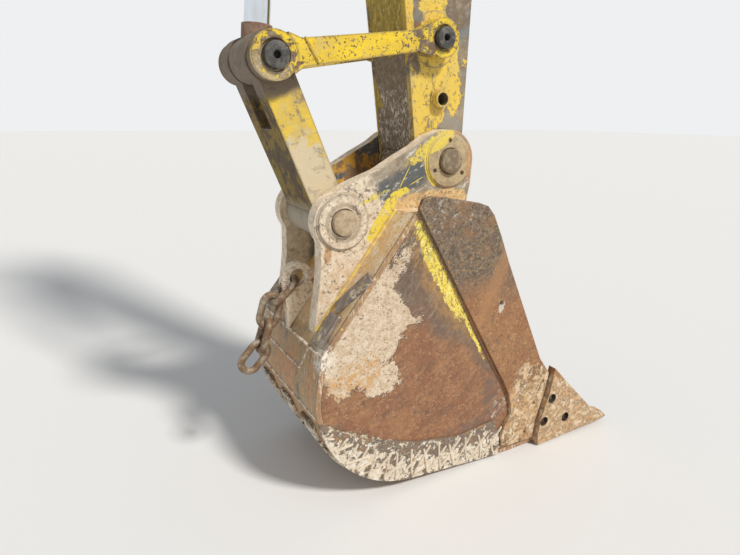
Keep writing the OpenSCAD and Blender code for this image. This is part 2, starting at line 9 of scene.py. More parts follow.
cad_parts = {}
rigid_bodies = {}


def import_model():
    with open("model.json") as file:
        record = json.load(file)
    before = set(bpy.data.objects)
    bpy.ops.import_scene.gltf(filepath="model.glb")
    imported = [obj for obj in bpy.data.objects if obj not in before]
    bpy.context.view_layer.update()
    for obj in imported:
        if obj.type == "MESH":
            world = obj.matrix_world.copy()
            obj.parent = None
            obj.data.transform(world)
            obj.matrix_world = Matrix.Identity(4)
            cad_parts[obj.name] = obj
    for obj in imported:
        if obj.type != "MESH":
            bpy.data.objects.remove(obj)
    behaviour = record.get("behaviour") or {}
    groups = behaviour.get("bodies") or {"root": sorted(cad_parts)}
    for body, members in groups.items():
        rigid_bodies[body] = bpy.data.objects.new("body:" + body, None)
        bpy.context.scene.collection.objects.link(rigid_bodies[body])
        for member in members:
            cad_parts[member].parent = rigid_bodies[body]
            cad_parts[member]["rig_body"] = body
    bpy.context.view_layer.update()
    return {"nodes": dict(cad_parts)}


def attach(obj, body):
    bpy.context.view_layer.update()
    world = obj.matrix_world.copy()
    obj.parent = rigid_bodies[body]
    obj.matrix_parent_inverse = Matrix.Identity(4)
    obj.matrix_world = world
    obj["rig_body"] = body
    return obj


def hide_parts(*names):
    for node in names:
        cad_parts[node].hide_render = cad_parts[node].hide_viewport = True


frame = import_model()

# Camera. It stands 2.5 m from the bucket at a person's eye height, looks 16 degrees down,
# and takes in the bucket, its linkage and the foot of the stick, as the photograph does.
HEADING = math.radians(28.85)
TILT = math.radians(16.12)
ROLL = math.radians(0.51)
EYE = (-1.4006, -2.0994, -3.030)
ahead = Vector((math.sin(HEADING) * math.cos(TILT), math.cos(HEADING) * math.cos(TILT), -math.sin(TILT)))
level = Vector((math.cos(HEADING), -math.sin(HEADING), 0))
aside = level * math.cos(ROLL) + level.cross(ahead) * math.sin(ROLL)
above = aside.cross(ahead)
lens = bpy.data.cameras.new("camera")
lens.lens = 27.0
lens.sensor_width = 36
lens.clip_end = 200
camera = bpy.data.objects.new("camera", lens)
camera.matrix_world = Matrix.Translation(EYE) @ Matrix((aside, above, -ahead)).transposed().to_4x4()
bpy.context.scene.collection.objects.link(camera)
bpy.context.scene.camera = camera
bpy.context.scene.view_settings.view_transform = "Standard"

# Studio. A pale floor that the bucket rests on, one broad high key lamp from the right
# of the camera, and an even pale sky that fills the shaded faces.
FLOOR_Z = -4.5842
floor_mesh = bpy.data.meshes.new("floor")
corners = [(x, y, FLOOR_Z) for x, y in ((-60, -60), (60, -60), (60, 60), (-60, 60))]
floor_mesh.from_pydata(corners, [], [(0, 1, 2, 3)])
floor = bpy.data.objects.new("floor", floor_mesh)
bpy.context.scene.collection.objects.link(floor)
floor_coat = bpy.data.materials.new("floor")
floor_coat.use_nodes = True
floor_shader = floor_coat.node_tree.nodes["Principled BSDF"]
floor_shader.inputs["Base Color"].default_value = (0.78, 0.77, 0.75, 1)
floor_shader.inputs["Roughness"].default_value = 0.9
floor_mesh.materials.append(floor_coat)

key = bpy.data.lights.new("key", "SUN")
key.energy = 3.0
key.angle = math.radians(9)
key.color = (1.0, 0.975, 0.93)
key_lamp = bpy.data.objects.new("key", key)
key_lamp.rotation_euler = Vector((0.24, -0.66, 0.72)).to_track_quat("Z", "Y").to_euler()
bpy.context.scene.collection.objects.link(key_lamp)

sky = bpy.data.worlds.new("sky")
bpy.context.scene.world = sky
sky.use_nodes = True
sky_tree = sky.node_tree
sky_light = sky_tree.nodes["Background"]
sky_light.inputs["Color"].default_value = (0.88, 0.93, 1.0, 1)
sky_light.inputs["Strength"].default_value = 0.42
sky_seen = sky_tree.nodes.new("ShaderNodeBackground")
sky_seen.inputs["Color"].default_value = (0.86, 0.87, 0.88, 1)
ray = sky_tree.nodes.new("ShaderNodeLightPath")
any_view = sky_tree.nodes.new("ShaderNodeMath")
any_view.operation = "MAXIMUM"
sky_tree.links.new(ray.outputs["Is Camera Ray"], any_view.inputs[0])
sky_tree.links.new(ray.outputs["Is Glossy Ray"], any_view.inputs[1])
sky_mix = sky_tree.nodes.new("ShaderNodeMixShader")
sky_tree.links.new(any_view.outputs[0], sky_mix.inputs[0])
sky_tree.links.new(sky_light.outputs[0], sky_mix.inputs[1])
sky_tree.links.new(sky_seen.outputs[0], sky_mix.inputs[2])
sky_tree.links.new(sky_mix.outputs[0], sky_tree.nodes["World Output"].inputs["Surface"])


# Stick. A box welded from two thick side plates and two thinner ones between them, painted
# yellow. Paint is worn through to steel and primer near its foot, where mud clings.
PIN_Z = -3.2  # height of the bucket pin; places on the side are millimetres from it


class Coat:
    """One finish, as nodes. Masks run from 0 to 1 and say how far each colour covers those under it."""

    def __init__(self, name):
        self.material = bpy.data.materials.new(name)
        self.material.use_nodes = True
        self.tree = self.material.node_tree
        self.tree.nodes.clear()
        self.place = self.add("TexCoord").outputs["Object"]

    def add(self, kind, values=None, **settings):
        """A new node. Values go to its inputs, as numbers, colours or links."""
        node = self.tree.nodes.new("ShaderNode" + kind)
        for key, value in settings.items():
            setattr(node, key, value)
        for key, value in (values or {}).items():
            socket = node.inputs[key]
            if isinstance(value, bpy.types.NodeSocket):
                self.tree.links.new(value, socket)
            elif socket.type == "RGBA" and len(value) == 3:
                socket.default_value = (*value, 1)
            else:
                socket.default_value = value
        return node

    def joined(self, how, first, *others):
        """One value from several, taken two by two through a maths node."""
        for other in others:
            first = self.add("Math", {0: first, 1: other}, operation=how).outputs[0]
        return first

    def sum(self, *values):
        """All the values added up."""
        return self.joined("ADD", *values)

    def both(self, *masks):
        """The product of the masks: 1 only where all of them are."""
        return self.joined("MULTIPLY", *masks)

    def either(self, *masks):
        """The greatest of the masks: 1 where any of them is."""
        return self.joined("MAXIMUM", *masks)

    def nearest(self, *distances):
        """The least of the distances."""
        return self.joined("MINIMUM", *distances)

    def less(self, a, b):
        """The part of mask a that lies outside mask b: a times one minus b."""
        return self.both(a, self.joined("SUBTRACT", 1.0, b))

    def step(self, value, low, high):
        """A soft step from 0 at low to 1 at high; where low is the greater, it falls instead."""
        ends = (0.0, 1.0) if high > low else (1.0, 0.0)
        span = {0: value, 1: min(low, high), 2: max(low, high), 3: ends[0], 4: ends[1]}
        return self.add("MapRange", span, interpolation_type="SMOOTHSTEP").outputs[0]

    def band(self, value, low, high, soft):
        """1 where the value lies between low and high, with ends that are soft to either side."""
        rise = self.step(value, low - soft, low + soft)
        return self.both(rise, self.step(value, high + soft, high - soft))

    def grain(self, size, fine=5, rough=0.6, warp=0.0, stretch=(1, 1, 1), shift=0.0, turn=0.0):
        """Cloudy noise from 0 to 1, its lumps about size metres wide, drawn out along turned axes."""
        place = self.add("Mapping", {
            "Vector": self.place, "Location": (shift, 0.7 * shift, -shift),
            "Rotation": (0, -math.radians(turn), 0), "Scale": stretch}, vector_type="TEXTURE").outputs[0]
        return self.add("TexNoise", {"Vector": place, "Scale": 1 / size, "Detail": fine, "Roughness": rough,
                                     "Distortion": warp}).outputs[0]

    def clouds(self, low, high, *lumps, **laid):
        """Cloudy noise stepped from low to high; lumps and laid are what grain takes."""
        return self.step(self.grain(*lumps, **laid), low, high)

    def wander(self, swing, *lumps, **laid):
        """Cloudy noise that swings round nought by half of swing."""
        return self.both(self.sum(self.grain(*lumps, **laid), -0.5), swing)

    def reach_from(self, mid, turn=0.0, unit=(1, 1)):
        """Distance in the side view from mid, given in millimetres, counted in metres or in other units.

        The two units are lengths along X and Z, turned by turn degrees.
        """
        spot = self.add("Mapping", {
            "Vector": self.place, "Location": (mid[0] / 1000, 0, PIN_Z + mid[1] / 1000),
            "Rotation": (0, -math.radians(turn), 0), "Scale": (unit[0], 1e5, unit[1])},
            vector_type="TEXTURE").outputs[0]
        return self.add("VectorMath", {0: spot}, operation="LENGTH").outputs["Value"]

    def patch(self, mid, reach, turn=0.0, ragged=0.8, size=0.05, soft=0.12):
        """An oval of the side view with a ragged edge: distance in reaches plus noise, stepped at 1."""
        far = self.reach_from(mid, turn, (reach[0] / 1000, reach[1] / 1000))
        return self.step(self.sum(far, self.wander(2 * ragged, size, 5, 0.65)), 1 + soft, 1 - soft)

    def along(self, axis):
        """One coordinate of the object, in metres: 0, 1 or 2 for X, Y or Z."""
        return self.add("SeparateXYZ", {0: self.place}).outputs[axis]

    def off_middle(self):
        """Distance in metres from the middle plane."""
        return self.joined("ABSOLUTE", self.along(1), 0.0)

    def worn_edges(self, wide):
        """Mask of the corners: where a normal rounded over wide metres leaves the true one."""
        soft = self.add("Bevel", {"Radius": wide}, samples=4).outputs[0]
        true = self.add("NewGeometry").outputs["Normal"]
        match = self.add("VectorMath", {0: soft, 1: true}, operation="DOT_PRODUCT").outputs["Value"]
        return self.step(match, 0.985, 0.86)

    def over(self, under, *layers):
        """Colours laid over one another. A layer is a colour and the masks whose product lets it cover."""
        for top, *masks in layers:
            mix = self.add("Mix", {0: self.both(*masks), 6: under, 7: top}, data_type="RGBA")
            under = mix.outputs[2]
        return under

    def blend(self, a, b, mask):
        """A number that goes from a to b with the mask."""
        return self.add("Mix", {0: mask, 2: a, 3: b}, data_type="FLOAT").outputs[0]

    def done(self, colour, rough, height=None, deep=0.001, metal=0.0):
        """The finished material. Where height is 1, the bump stands deep metres out."""
        values = {"Base Color": colour, "Roughness": rough, "Metallic": metal}
        if height is not None:
            bump = self.add("Bump", {"Height": height, "Distance": deep})
            values["Normal"] = bump.outputs[0]
        shader = self.add("BsdfPrincipled", values)
        self.add("OutputMaterial", {"Surface": shader.outputs[0]})
        return self.material


KEEN = math.radians(38)  # edges whose faces turn by more than this stay sharp


def finished(work, name, coat):
    """An object made of a bmesh, shaded smooth but for its keen edges."""
    for face in work.faces:
        face.smooth = True
    for seam in work.edges:
        seam.smooth = len(seam.link_faces) == 2 and seam.calc_face_angle(0) < KEEN
    mesh = bpy.data.meshes.new(name)
    work.to_mesh(mesh)
    work.free()
    mesh.materials.append(coat)
    piece = bpy.data.objects.new(name, mesh)
    bpy.context.scene.collection.objects.link(piece)
    return piece


def rounded(coat, edge, *nodes):
    """Merged copies of solids, their flat faces made whole and their corners rounded by edge metres."""
    for node in nodes:
        source = frame["nodes"][node]
        work = bmesh.new()
        work.from_mesh(source.data)
        bmesh.ops.remove_doubles(work, verts=work.verts, dist=2e-5)
        bmesh.ops.dissolve_limit(work, angle_limit=math.radians(0.5), verts=work.verts, edges=work.edges)
        bmesh.ops.connect_verts_concave(work, faces=work.faces)
        piece = finished(work, node + "_dressed", coat)
        if edge:
            bevel = piece.modifiers.new("edges", "BEVEL")
            bevel.width = edge
            bevel.segments = 2
            bevel.limit_method = "ANGLE"
            bevel.angle_limit = KEEN
            bevel.use_clamp_overlap = True
            bevel.harden_normals = True
        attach(piece, source["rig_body"])
        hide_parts(node)


def new_piece(name, parts, coat, body, slot, *stands_for):
    """One object from parts, each a pair of points and faces; it may stand for nodes of the solids."""
    points, faces, start = [], [], 0
    for part_points, part_faces in parts:
        points.append(np.asarray(part_points, float))
        faces.extend((np.asarray(f) + start).tolist() for f in part_faces)
        start += len(part_points)
    raw = bpy.data.meshes.new("raw")
    raw.from_pydata(np.vstack(points).tolist(), [], faces)
    work = bmesh.new()
    work.from_mesh(raw)
    bpy.data.meshes.remove(raw)
    bmesh.ops.remove_doubles(work, verts=work.verts, dist=1e-6)
    bmesh.ops.recalc_face_normals(work, faces=work.faces)
    piece = finished(work, name, coat)
    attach(piece, body)
    if stands_for:
        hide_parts(*stands_for)


def grid_faces(rows, columns, round_rows=False, round_columns=False):
    """Quads of a grid of points, row by row, closed into rings where told."""
    r = np.arange(rows if round_rows else rows - 1)
    c = np.arange(columns if round_columns else columns - 1)
    a, b = np.meshgrid(r, c, indexing="ij")
    up, on = (a + 1) % rows, (b + 1) % columns
    quads = [a * columns + b, a * columns + on, up * columns + on, up * columns + b]
    return np.stack(quads, -1).reshape(-1, 4)


def side_points(points, y):
    """Points of the side view, in millimetres from the bucket pin, placed at depth y in metres."""
    flat = np.asarray(points, float) / 1000
    return np.column_stack([flat[:, 0], np.full(len(flat), y), flat[:, 1] + PIN_Z])


def weld_bead(path, radius, closed=False, sides=8):
    """A weld bead: a round section carried along a path, its radius swelling once for each ripple.

    A ripple is 1.1 radii long, and the path is cut into thirds of it; each section stands square to it.
    """
    path = np.asarray(path, float)
    if closed:
        path = np.vstack([path, path[:1]])
    legs = np.linalg.norm(np.diff(path, axis=0), axis=1)
    gone = np.concatenate([[0], np.cumsum(legs)])
    count = max(4, int(gone[-1] / (1.1 * radius / 3)))
    at = np.linspace(0, gone[-1], count + 1)
    line = np.column_stack([np.interp(at, gone, path[:, k]) for k in range(3)])
    if closed:
        line = line[:-1]
        run = np.roll(line, -1, axis=0) - np.roll(line, 1, axis=0)
    else:
        run = np.gradient(line, axis=0)
    run /= np.linalg.norm(run, axis=1)[:, None]
    guide = np.where(np.abs(run[:, 1:2]) < 0.8, [[0.0, 1.0, 0.0]], [[1.0, 0.0, 0.0]])
    one = np.cross(run, guide)
    one /= np.linalg.norm(one, axis=1)[:, None]
    two = np.cross(run, one)
    phase = np.arange(len(line)) * 2 * math.pi / 3
    thick = radius * (1 + 0.10 * np.sin(phase) + 0.07 * np.sin(phase * 0.137 + line[:, 0] * 40))
    if not closed:
        ends = np.minimum(np.arange(len(line)), np.arange(len(line))[::-1])
        thick = thick * np.clip(0.35 + ends / 3, 0, 1)
    turn = np.linspace(0, 2 * math.pi, sides, endpoint=False)
    ring = np.cos(turn)[None, :, None] * one[:, None, :] + np.sin(turn)[None, :, None] * two[:, None, :]
    points = (line[:, None, :] + thick[:, None, None] * ring).reshape(-1, 3)
    faces = grid_faces(len(line), sides, round_rows=closed, round_columns=True).tolist()
    if not closed:
        faces += [list(range(sides)), list(range(len(points) - sides, len(points)))]
    return points, faces


def ring_path(mid, radius, y):
    """A circle round a pin of the side view, at depth y, as 48 points."""
    turn = np.linspace(0, 2 * math.pi, 48, endpoint=False)
    return side_points(np.column_stack([mid[0] + radius * np.cos(turn), mid[1] + radius * np.sin(turn)]), y)


IDLER_PIN = (-45, 465)
BOOM_PIN = (0, 3200)
PIPE_MID = (-15, 242)

stick = Coat("stick_paint")
faded = stick.over(
    (0.84, 0.57, 0.035),
    ((0.72, 0.5, 0.08), stick.clouds(0.4, 0.62, 0.35, 4)),
    ((0.5, 0.36, 0.1), stick.clouds(0.5, 0.7, 0.012, 6, 0.7), 0.5))
primer = stick.over(
    (0.17, 0.125, 0.08),
    ((0.17, 0.175, 0.175), stick.clouds(0.48, 0.55, 0.09, 5, shift=3)),
    ((0.33, 0.28, 0.21), stick.clouds(0.5, 0.66, 0.035, 8, 0.75, shift=1)),
    ((0.26, 0.13, 0.06), stick.clouds(0.55, 0.66, 0.05, 6, shift=7), 0.8))
rubbed = stick.either(
    stick.patch((108, 360), (34, 420), size=0.08),
    stick.patch((-128, 600), (24, 150), size=0.06),
    stick.patch((10, 150), (75, 50), turn=20, ragged=0.6),
    stick.patch((62, 600), (60, 130), size=0.07))
kept = stick.either(
    stick.patch((-62, 250), (78, 150), ragged=0.4),
    stick.patch((-55, 640), (75, 100), ragged=0.7, size=0.06),
    stick.patch((58, 262), (36, 80), ragged=0.5, size=0.04))
rubbed = stick.less(rubbed, kept)
torn = stick.sum(stick.grain(0.1, 10, 0.7, 0.6), stick.both(rubbed, 0.2), stick.both(kept, -0.12))
torn = stick.step(torn, 0.575, 0.59)
nicks = stick.clouds(0.64, 0.68, 0.012, 3, 0.5)
scrapes = stick.both(stick.clouds(0.555, 0.585, 0.03, 10, 0.78, 0.5, stretch=(1, 1, 1.8), shift=6), 0.8)
bare = stick.either(torn, scrapes, stick.both(nicks, 0.8), stick.worn_edges(0.008))
dust = stick.both(stick.less(stick.clouds(0.44, 0.68, 0.22, 8, 0.65, shift=5), kept), 0.42)
colour = stick.over(
    faded,
    (primer, bare),
    ((0.46, 0.37, 0.24), dust),
    # Near black inside the crossing pipe's bore: painted shade.
    ((0.1, 0.09, 0.08), stick.step(stick.reach_from(PIPE_MID), 0.0265, 0.0235), 0.9))
stick_paint = stick.done(
    colour, stick.blend(0.46, 0.8, stick.either(bare, dust)),
    stick.sum(stick.both(bare, -0.6), stick.both(stick.grain(0.006, 4), 0.5)), 0.0014)

mud = Coat("stick_front_mud")
olive = mud.over(
    (0.48, 0.34, 0.05),
    ((0.34, 0.26, 0.08), mud.clouds(0.42, 0.6, 0.02, 9, 0.75)),
    ((0.2, 0.135, 0.04), mud.clouds(0.53, 0.62, 0.012, 4, 0.7, stretch=(1, 1, 3), shift=6), 0.8),
    ((0.8, 0.62, 0.16), mud.clouds(0.52, 0.62, 0.014, 4, 0.7, stretch=(1, 1, 2), shift=8), 0.7),
    ((0.17, 0.14, 0.09), mud.clouds(0.57, 0.61, 0.09, 9, 0.75, 0.4, shift=2)))
caked = mud.step(mud.sum(mud.along(2), mud.wander(0.3, 0.07, 7, 0.6)), -2.77, -2.79)
sloped = mud.step(mud.sum(mud.along(1), mud.both(mud.sum(mud.along(2), 2.95), -0.45)), 0.1, 0.085)
caked = mud.both(caked, mud.either(sloped, mud.step(mud.along(2), -2.98, -3.0)))
flecks = mud.both(
    mud.clouds(0.515, 0.555, 0.021, 9, 0.78, 1.2, stretch=(1, 1, 1.4)),
    mud.clouds(0.36, 0.44, 0.07, 4, 0.7, shift=4))
low_down = mud.step(mud.sum(mud.along(2), mud.wander(0.3, 0.1, 6)), -2.86, -2.98)
clay = mud.over(
    (0.21, 0.16, 0.11),
    ((0.36, 0.28, 0.205), mud.clouds(0.42, 0.62, 0.02, 9, 0.75)),
    ((0.46, 0.37, 0.28), mud.clouds(0.53, 0.62, 0.016, 4, 0.7, stretch=(1, 1, 1.6), shift=3), 0.6),
    ((0.82, 0.75, 0.64), flecks, low_down))
stick_front_mud = mud.done(
    mud.over(olive, (clay, caked)), 0.85,
    mud.sum(mud.both(caked, mud.grain(0.02, 9, 0.7)), mud.both(mud.grain(0.005, 4), 0.25)), 0.008)

rounded(stick_paint, 0.003, "stick_side_near", "stick_side_far", "stick_rear_plate", "stick_end_plate",
        "boom_boss", "crossing_pipe", "arm_cylinder_lugs", "cylinder_lugs")
rounded(stick_front_mud, 0.002, "stick_front_plate", "stick_tip_boss", "idler_boss")

nose = np.radians(np.linspace(172, 385, 40))
FRONT_SEAM = [(-347.5, 3890), (-405, 2350), (-121, 38)] + list(zip(118 * np.cos(nose), 118 * np.sin(nose)))
REAR_SEAM = [(113.5, 64), (190, 3200), (190, 3320), (-122.5, 3890)]
PLATE_IN, PLATE_OUT = 0.134, 0.150  # depths of the side plates' two faces
seams = [weld_bead(side_points(line, y), 0.006)
         for line in (FRONT_SEAM, REAR_SEAM) for y in (-PLATE_IN, PLATE_IN)]
seams += [weld_bead(ring_path(mid, r, side * (PLATE_OUT + 0.0015)), 0.005, closed=True)
          for side in (-1, 1) for mid, r in ((PIPE_MID, 37), (BOOM_PIN, 148))]
new_piece("stick_welds", seams, stick_paint, "stick", "stick_paint")


def turned_ring(profile, mid):
    """A piece turned on a lathe: each pair of depth and radius is spun about a pin of the side view."""
    sides = 64
    shape = np.asarray(profile, float)
    turn = np.linspace(0, 2 * math.pi, sides, endpoint=False)
    x = mid[0] / 1000 + shape[:, 1:2] * np.cos(turn)
    z = PIN_Z + mid[1] / 1000 + shape[:, 1:2] * np.sin(turn)
    y = np.repeat(shape[:, :1], sides, axis=1)
    points = np.stack([x, y, z], -1).reshape(-1, 3)
    return points, grid_faces(len(shape), sides, round_columns=True)


flange = [(0.0, 0.043), (0.0035, 0.043), (0.0035, 0.102), (0.0, 0.106), (0.0, 0.043)]
doublers = [turned_ring([(side * (PLATE_OUT + out), radius) for out, radius in flange], IDLER_PIN)
            for side in (-1, 1)]
new_piece("stick_doublers", doublers, stick_paint, "stick", "stick_paint")

# Pins. Ground steel bars through greased bushes, dark and oily, their ends chamfered, with a
# centre hole in the thinner ones. The bucket's two pins have plain, slightly domed, dusty ends.
oily = Coat("pin_steel")
tone = oily.over(
    (0.055, 0.052, 0.048),
    ((0.13, 0.12, 0.105), oily.clouds(0.45, 0.62, 0.03, 7, 0.65)),
    ((0.42, 0.38, 0.32), oily.clouds(0.66, 0.7, 0.008, 4), 0.6))
pin_steel = oily.done(
    tone, oily.blend(0.42, 0.7, oily.grain(0.02, 5)), oily.grain(0.004, 4), 0.0008, metal=0.35)

dusty = Coat("pin_end_dust")
tone = dusty.over(
    (0.38, 0.27, 0.165),
    ((0.5, 0.39, 0.26), dusty.clouds(0.42, 0.6, 0.03, 7, 0.65)),
    ((0.15, 0.1, 0.06), dusty.clouds(0.6, 0.66, 0.012, 6, 0.7)),
    ((0.12, 0.09, 0.06), dusty.worn_edges(0.006), 0.6))
pin_end_dust = dusty.done(tone, 0.8, dusty.grain(0.006, 6, 0.7), 0.0016)

brown = Coat("pin_end_brown")
tone = brown.over(
    (0.19, 0.135, 0.08),
    ((0.33, 0.25, 0.16), brown.clouds(0.45, 0.62, 0.025, 7, 0.65)),
    ((0.1, 0.07, 0.045), brown.clouds(0.6, 0.66, 0.012, 6, 0.7, shift=2)))
pin_end_brown = brown.done(tone, 0.75, brown.grain(0.006, 6, 0.7), 0.0016)


def pin_shape(half, radius, hole=0.0, dome=0.0):
    """Half profile of a whole pin: end face, chamfer, body, chamfer, end face, with holes or domed ends."""
    nose = 0.004
    end = [(-half - dome, 0.0), (-half - 0.6 * dome, radius * 0.55)]
    if hole:
        end = [(-half + 0.030, 0.0), (-half + 0.030, hole), (-half + 0.003, hole), (-half, hole + 0.003)]
    end += [(-half, radius - nose), (-half + 0.3 * nose, radius - 0.3 * nose), (-half + nose, radius)]
    return end + [(-y, r) for y, r in end[::-1]]


def pin(node, mid, shape, coat, body):
    """A turned pin that stands for a node."""
    new_piece(node + "_dressed", [turned_ring(shape, mid)], coat, body, "pin_steel", node)


BASE_PIN = (-520, 2780)
BUCKET_PIN = (0, 0)
LINK_PIN = (-483.61, -216.84)
TOP_PIN = (-727.87, 366.05)
HOLE = 0.0125  # radius of the centre hole
pin("idler_pin", IDLER_PIN, pin_shape(0.2355, 0.040, HOLE), pin_steel, "stick")
pin("cylinder_base_pin", BASE_PIN, pin_shape(0.1275, 0.045, HOLE), pin_steel, "stick")
pin("bucket_pin", BUCKET_PIN, pin_shape(0.2455, 0.050, dome=0.002), pin_end_brown, "bucket")
pin("link_pin", LINK_PIN, pin_shape(0.2455, 0.050, dome=0.002), pin_end_dust, "bucket")
TOP_HALF, TOP_R, TOP_INNER = 0.2355, 0.045, 0.1555  # the top pin's ends run from inner to half
for side, name in ((-1, "top_pin_near"), (1, "top_pin_far")):
    outer_end = [(-side * y, r) for y, r in pin_shape(TOP_HALF, TOP_R, HOLE)[:7]]
    shape = outer_end + [(side * TOP_INNER, TOP_R), (side * TOP_INNER, 0.0)]
    pin(name, TOP_PIN, shape, pin_steel, "tipping_links")
rounded(pin_steel, 0, "eye_pin", "fork_pins")

# Bucket cylinder. A thick tube with a welded base eye and a bolted gland, painted with the stick.
# Two oil pipes run beside it in clamps. The rod is chromed, its forged eye left to rust.
tube = Coat("cylinder_paint")
chips = tube.either(tube.clouds(0.655, 0.675, 0.03, 8, 0.7), tube.worn_edges(0.006))
grime = tube.both(tube.clouds(0.45, 0.68, 0.12, 7, 0.6, stretch=(1, 1, 2.5), shift=3), 0.5)
tone = tube.over(
    (0.76, 0.53, 0.05),
    ((0.62, 0.45, 0.11), tube.clouds(0.42, 0.62, 0.2, 5)),
    ((0.17, 0.14, 0.1), chips),
    ((0.4, 0.32, 0.2), grime))
cylinder_paint = tube.done(
    tone, tube.blend(0.42, 0.75, tube.either(chips, grime)),
    tube.sum(tube.both(chips, -0.5), tube.grain(0.006, 3)), 0.0008)
rounded(cylinder_paint, 0.0025, "barrel", "gland", "oil_pipes")

chrome = Coat("rod_chrome")
film = chrome.clouds(0.45, 0.75, 0.05, 6, 0.6, stretch=(1, 1, 4))
rod_chrome = chrome.done(
    chrome.over((0.74, 0.79, 0.84), ((0.6, 0.6, 0.58), film)), chrome.blend(0.13, 0.34, film), metal=1.0)
rounded(rod_chrome, 0, "rod")

rusty = Coat("rod_end")
tone = rusty.over(
    (0.22, 0.115, 0.075),
    ((0.3, 0.19, 0.13), rusty.clouds(0.42, 0.6, 0.03, 7, 0.65)),
    ((0.11, 0.075, 0.055), rusty.clouds(0.56, 0.66, 0.02, 6, 0.7, shift=4)))
body_tone = rusty.over(
    (0.24, 0.18, 0.13),
    ((0.16, 0.12, 0.09), rusty.clouds(0.42, 0.6, 0.03, 8, 0.7, shift=2)))
tone = rusty.over(body_tone, (tone, rusty.step(rusty.along(2), -2.766, -2.752)))
rod_end = rusty.done(tone, 0.75, rusty.grain(0.008, 6, 0.7), 0.002)
rounded(rod_end, 0.003, "rod_eye")

# Tipping links. Two flame-cut bars with a round boss at each end, bright yellow, chipped all
# over by stones. They turn on the stick's pin and carry the ends of the top pin.
link = Coat("link_paint")
rim = link.worn_edges(0.014)
near_pins = link.either(
    link.patch((-120, 440), (75, 70), size=0.06),
    link.patch((-728, 366), (92, 92), ragged=0.3, soft=0.3))
wear = link.sum(link.both(rim, 0.1), link.both(near_pins, 0.13))
flaked = link.step(link.sum(link.grain(0.045, 10, 0.74, 0.5), wear), 0.625, 0.64)
busy = link.both(link.step(link.along(0), -0.45, -0.1), 0.035)
pits = link.step(link.sum(link.grain(0.01, 4, 0.6, 0.3, shift=6), busy), 0.603, 0.62)
specks = link.both(link.clouds(0.64, 0.68, 0.0045, 3, 0.5, shift=2), 0.8)
bare_rim = link.step(link.sum(rim, link.both(link.grain(0.02, 6, 0.7), 0.8)), 1.22, 1.36)
gone = link.either(flaked, pits, specks, bare_rim)
under = link.over((0.15, 0.095, 0.055), ((0.26, 0.205, 0.145), link.clouds(0.45, 0.6, 0.02, 6, 0.7)))
film = link.both(link.clouds(0.5, 0.72, 0.09, 8, 0.65, shift=9), 0.5)
settled = link.both(
    link.patch((-772, 312), (95, 62), turn=35, ragged=0.7, size=0.04, soft=0.3),
    link.clouds(0.38, 0.5, 0.02, 8, 0.75, shift=5))
greased = link.both(link.patch((-728, 366), (120, 120), ragged=0.3), link.step(link.along(1), -0.2, -0.19))
tone = link.over(
    (0.8, 0.56, 0.022),
    ((0.68, 0.46, 0.04), link.clouds(0.45, 0.65, 0.12, 6, 0.6)),
    (under, gone),
    ((0.48, 0.38, 0.24), film),
    ((0.46, 0.36, 0.23), settled, 0.85),
    ((0.17, 0.125, 0.09), greased, 0.92))
link_paint = link.done(
    tone, link.blend(0.42, 0.8, link.either(gone, greased)),
    link.sum(link.both(gone, -0.8), link.both(link.grain(0.005, 4), 0.5)), 0.0018)
rounded(link_paint, 0.005, "idler_near", "idler_far")
LINK_FACE = 0.2165  # depth of the links' outer faces, on which a short weld line lies
weld_lines = [weld_bead(side_points([(-622, 430), (-600, 392), (-572, 345)], y), 0.005)
              for y in (-LINK_FACE, LINK_FACE)]
new_piece("link_weld_lines", weld_lines, link_paint, "tipping_links", "link_paint")

# H-link. A cast and welded box with a fork for the rod's eye at its top and a boss between
# the bucket's ears. Its sides keep their paint, which fades under pale mud towards the bucket.
box = Coat("hlink_paint")
rim = box.worn_edges(0.012)
flaked = box.step(box.sum(box.grain(0.05, 10, 0.74, 0.5), box.both(rim, 0.08)), 0.575, 0.6)
pits = box.clouds(0.62, 0.65, 0.01, 4, 0.6, 0.3, shift=6)
under = box.over((0.22, 0.17, 0.12), ((0.4, 0.37, 0.32), box.clouds(0.42, 0.6, 0.02, 7, 0.75)))
level_z = box.along(2)
shaded_top = box.step(box.sum(level_z, box.wander(0.12, 0.05, 7, 0.7)), -2.965, -2.935)
pale = box.step(box.sum(level_z, box.wander(0.55, 0.08, 9, 0.7, 0.5)), -3.1, -3.17)
smears = box.clouds(0.52, 0.66, 0.03, 9, 0.75, 0.3, stretch=(1, 1, 2.5), turn=-25, shift=3)
tone = box.over(
    (0.72, 0.5, 0.045),
    ((0.58, 0.41, 0.09), box.clouds(0.42, 0.62, 0.1, 7, 0.65)),
    (under, box.either(flaked, pits), 0.85),
    ((0.25, 0.18, 0.085), shaded_top, 0.85),
    ((0.6, 0.5, 0.345), pale, 0.9),
    ((0.54, 0.46, 0.33), smears, 0.6))
side_on = box.step(box.off_middle(), 0.147, 0.1485)
# Faces between the two sides: near black, painted shade as on the shaded front face, with dirt; paler rims,
# and pale mud low down.
dirt_and_painted_shade = box.over(
    (0.095, 0.06, 0.025),
    ((0.22, 0.145, 0.018), box.clouds(0.47, 0.53, 0.09, 9, 0.7, 0.4, shift=1)),
    ((0.055, 0.036, 0.02), box.clouds(0.52, 0.62, 0.04, 8, 0.7, shift=8)),
    ((0.3, 0.25, 0.18), rim, 0.5),
    ((0.4, 0.34, 0.26), box.step(level_z, -3.33, -3.42)))
greased = box.both(box.patch((-728, 366), (135, 135), ragged=0.2), 0.92)
bare_rim = box.step(box.sum(rim, box.both(box.grain(0.02, 6, 0.7), 0.8)), 1.1, 1.35)
tone = box.over(dirt_and_painted_shade, (tone, side_on), ((0.19, 0.145, 0.105), greased), ((0.2, 0.13, 0.08), bare_rim))
hlink_paint = box.done(tone, 0.74, box.sum(box.both(flaked, -0.5), box.grain(0.008, 7, 0.65)), 0.002)
rounded(hlink_paint, 0.006, "hlink")

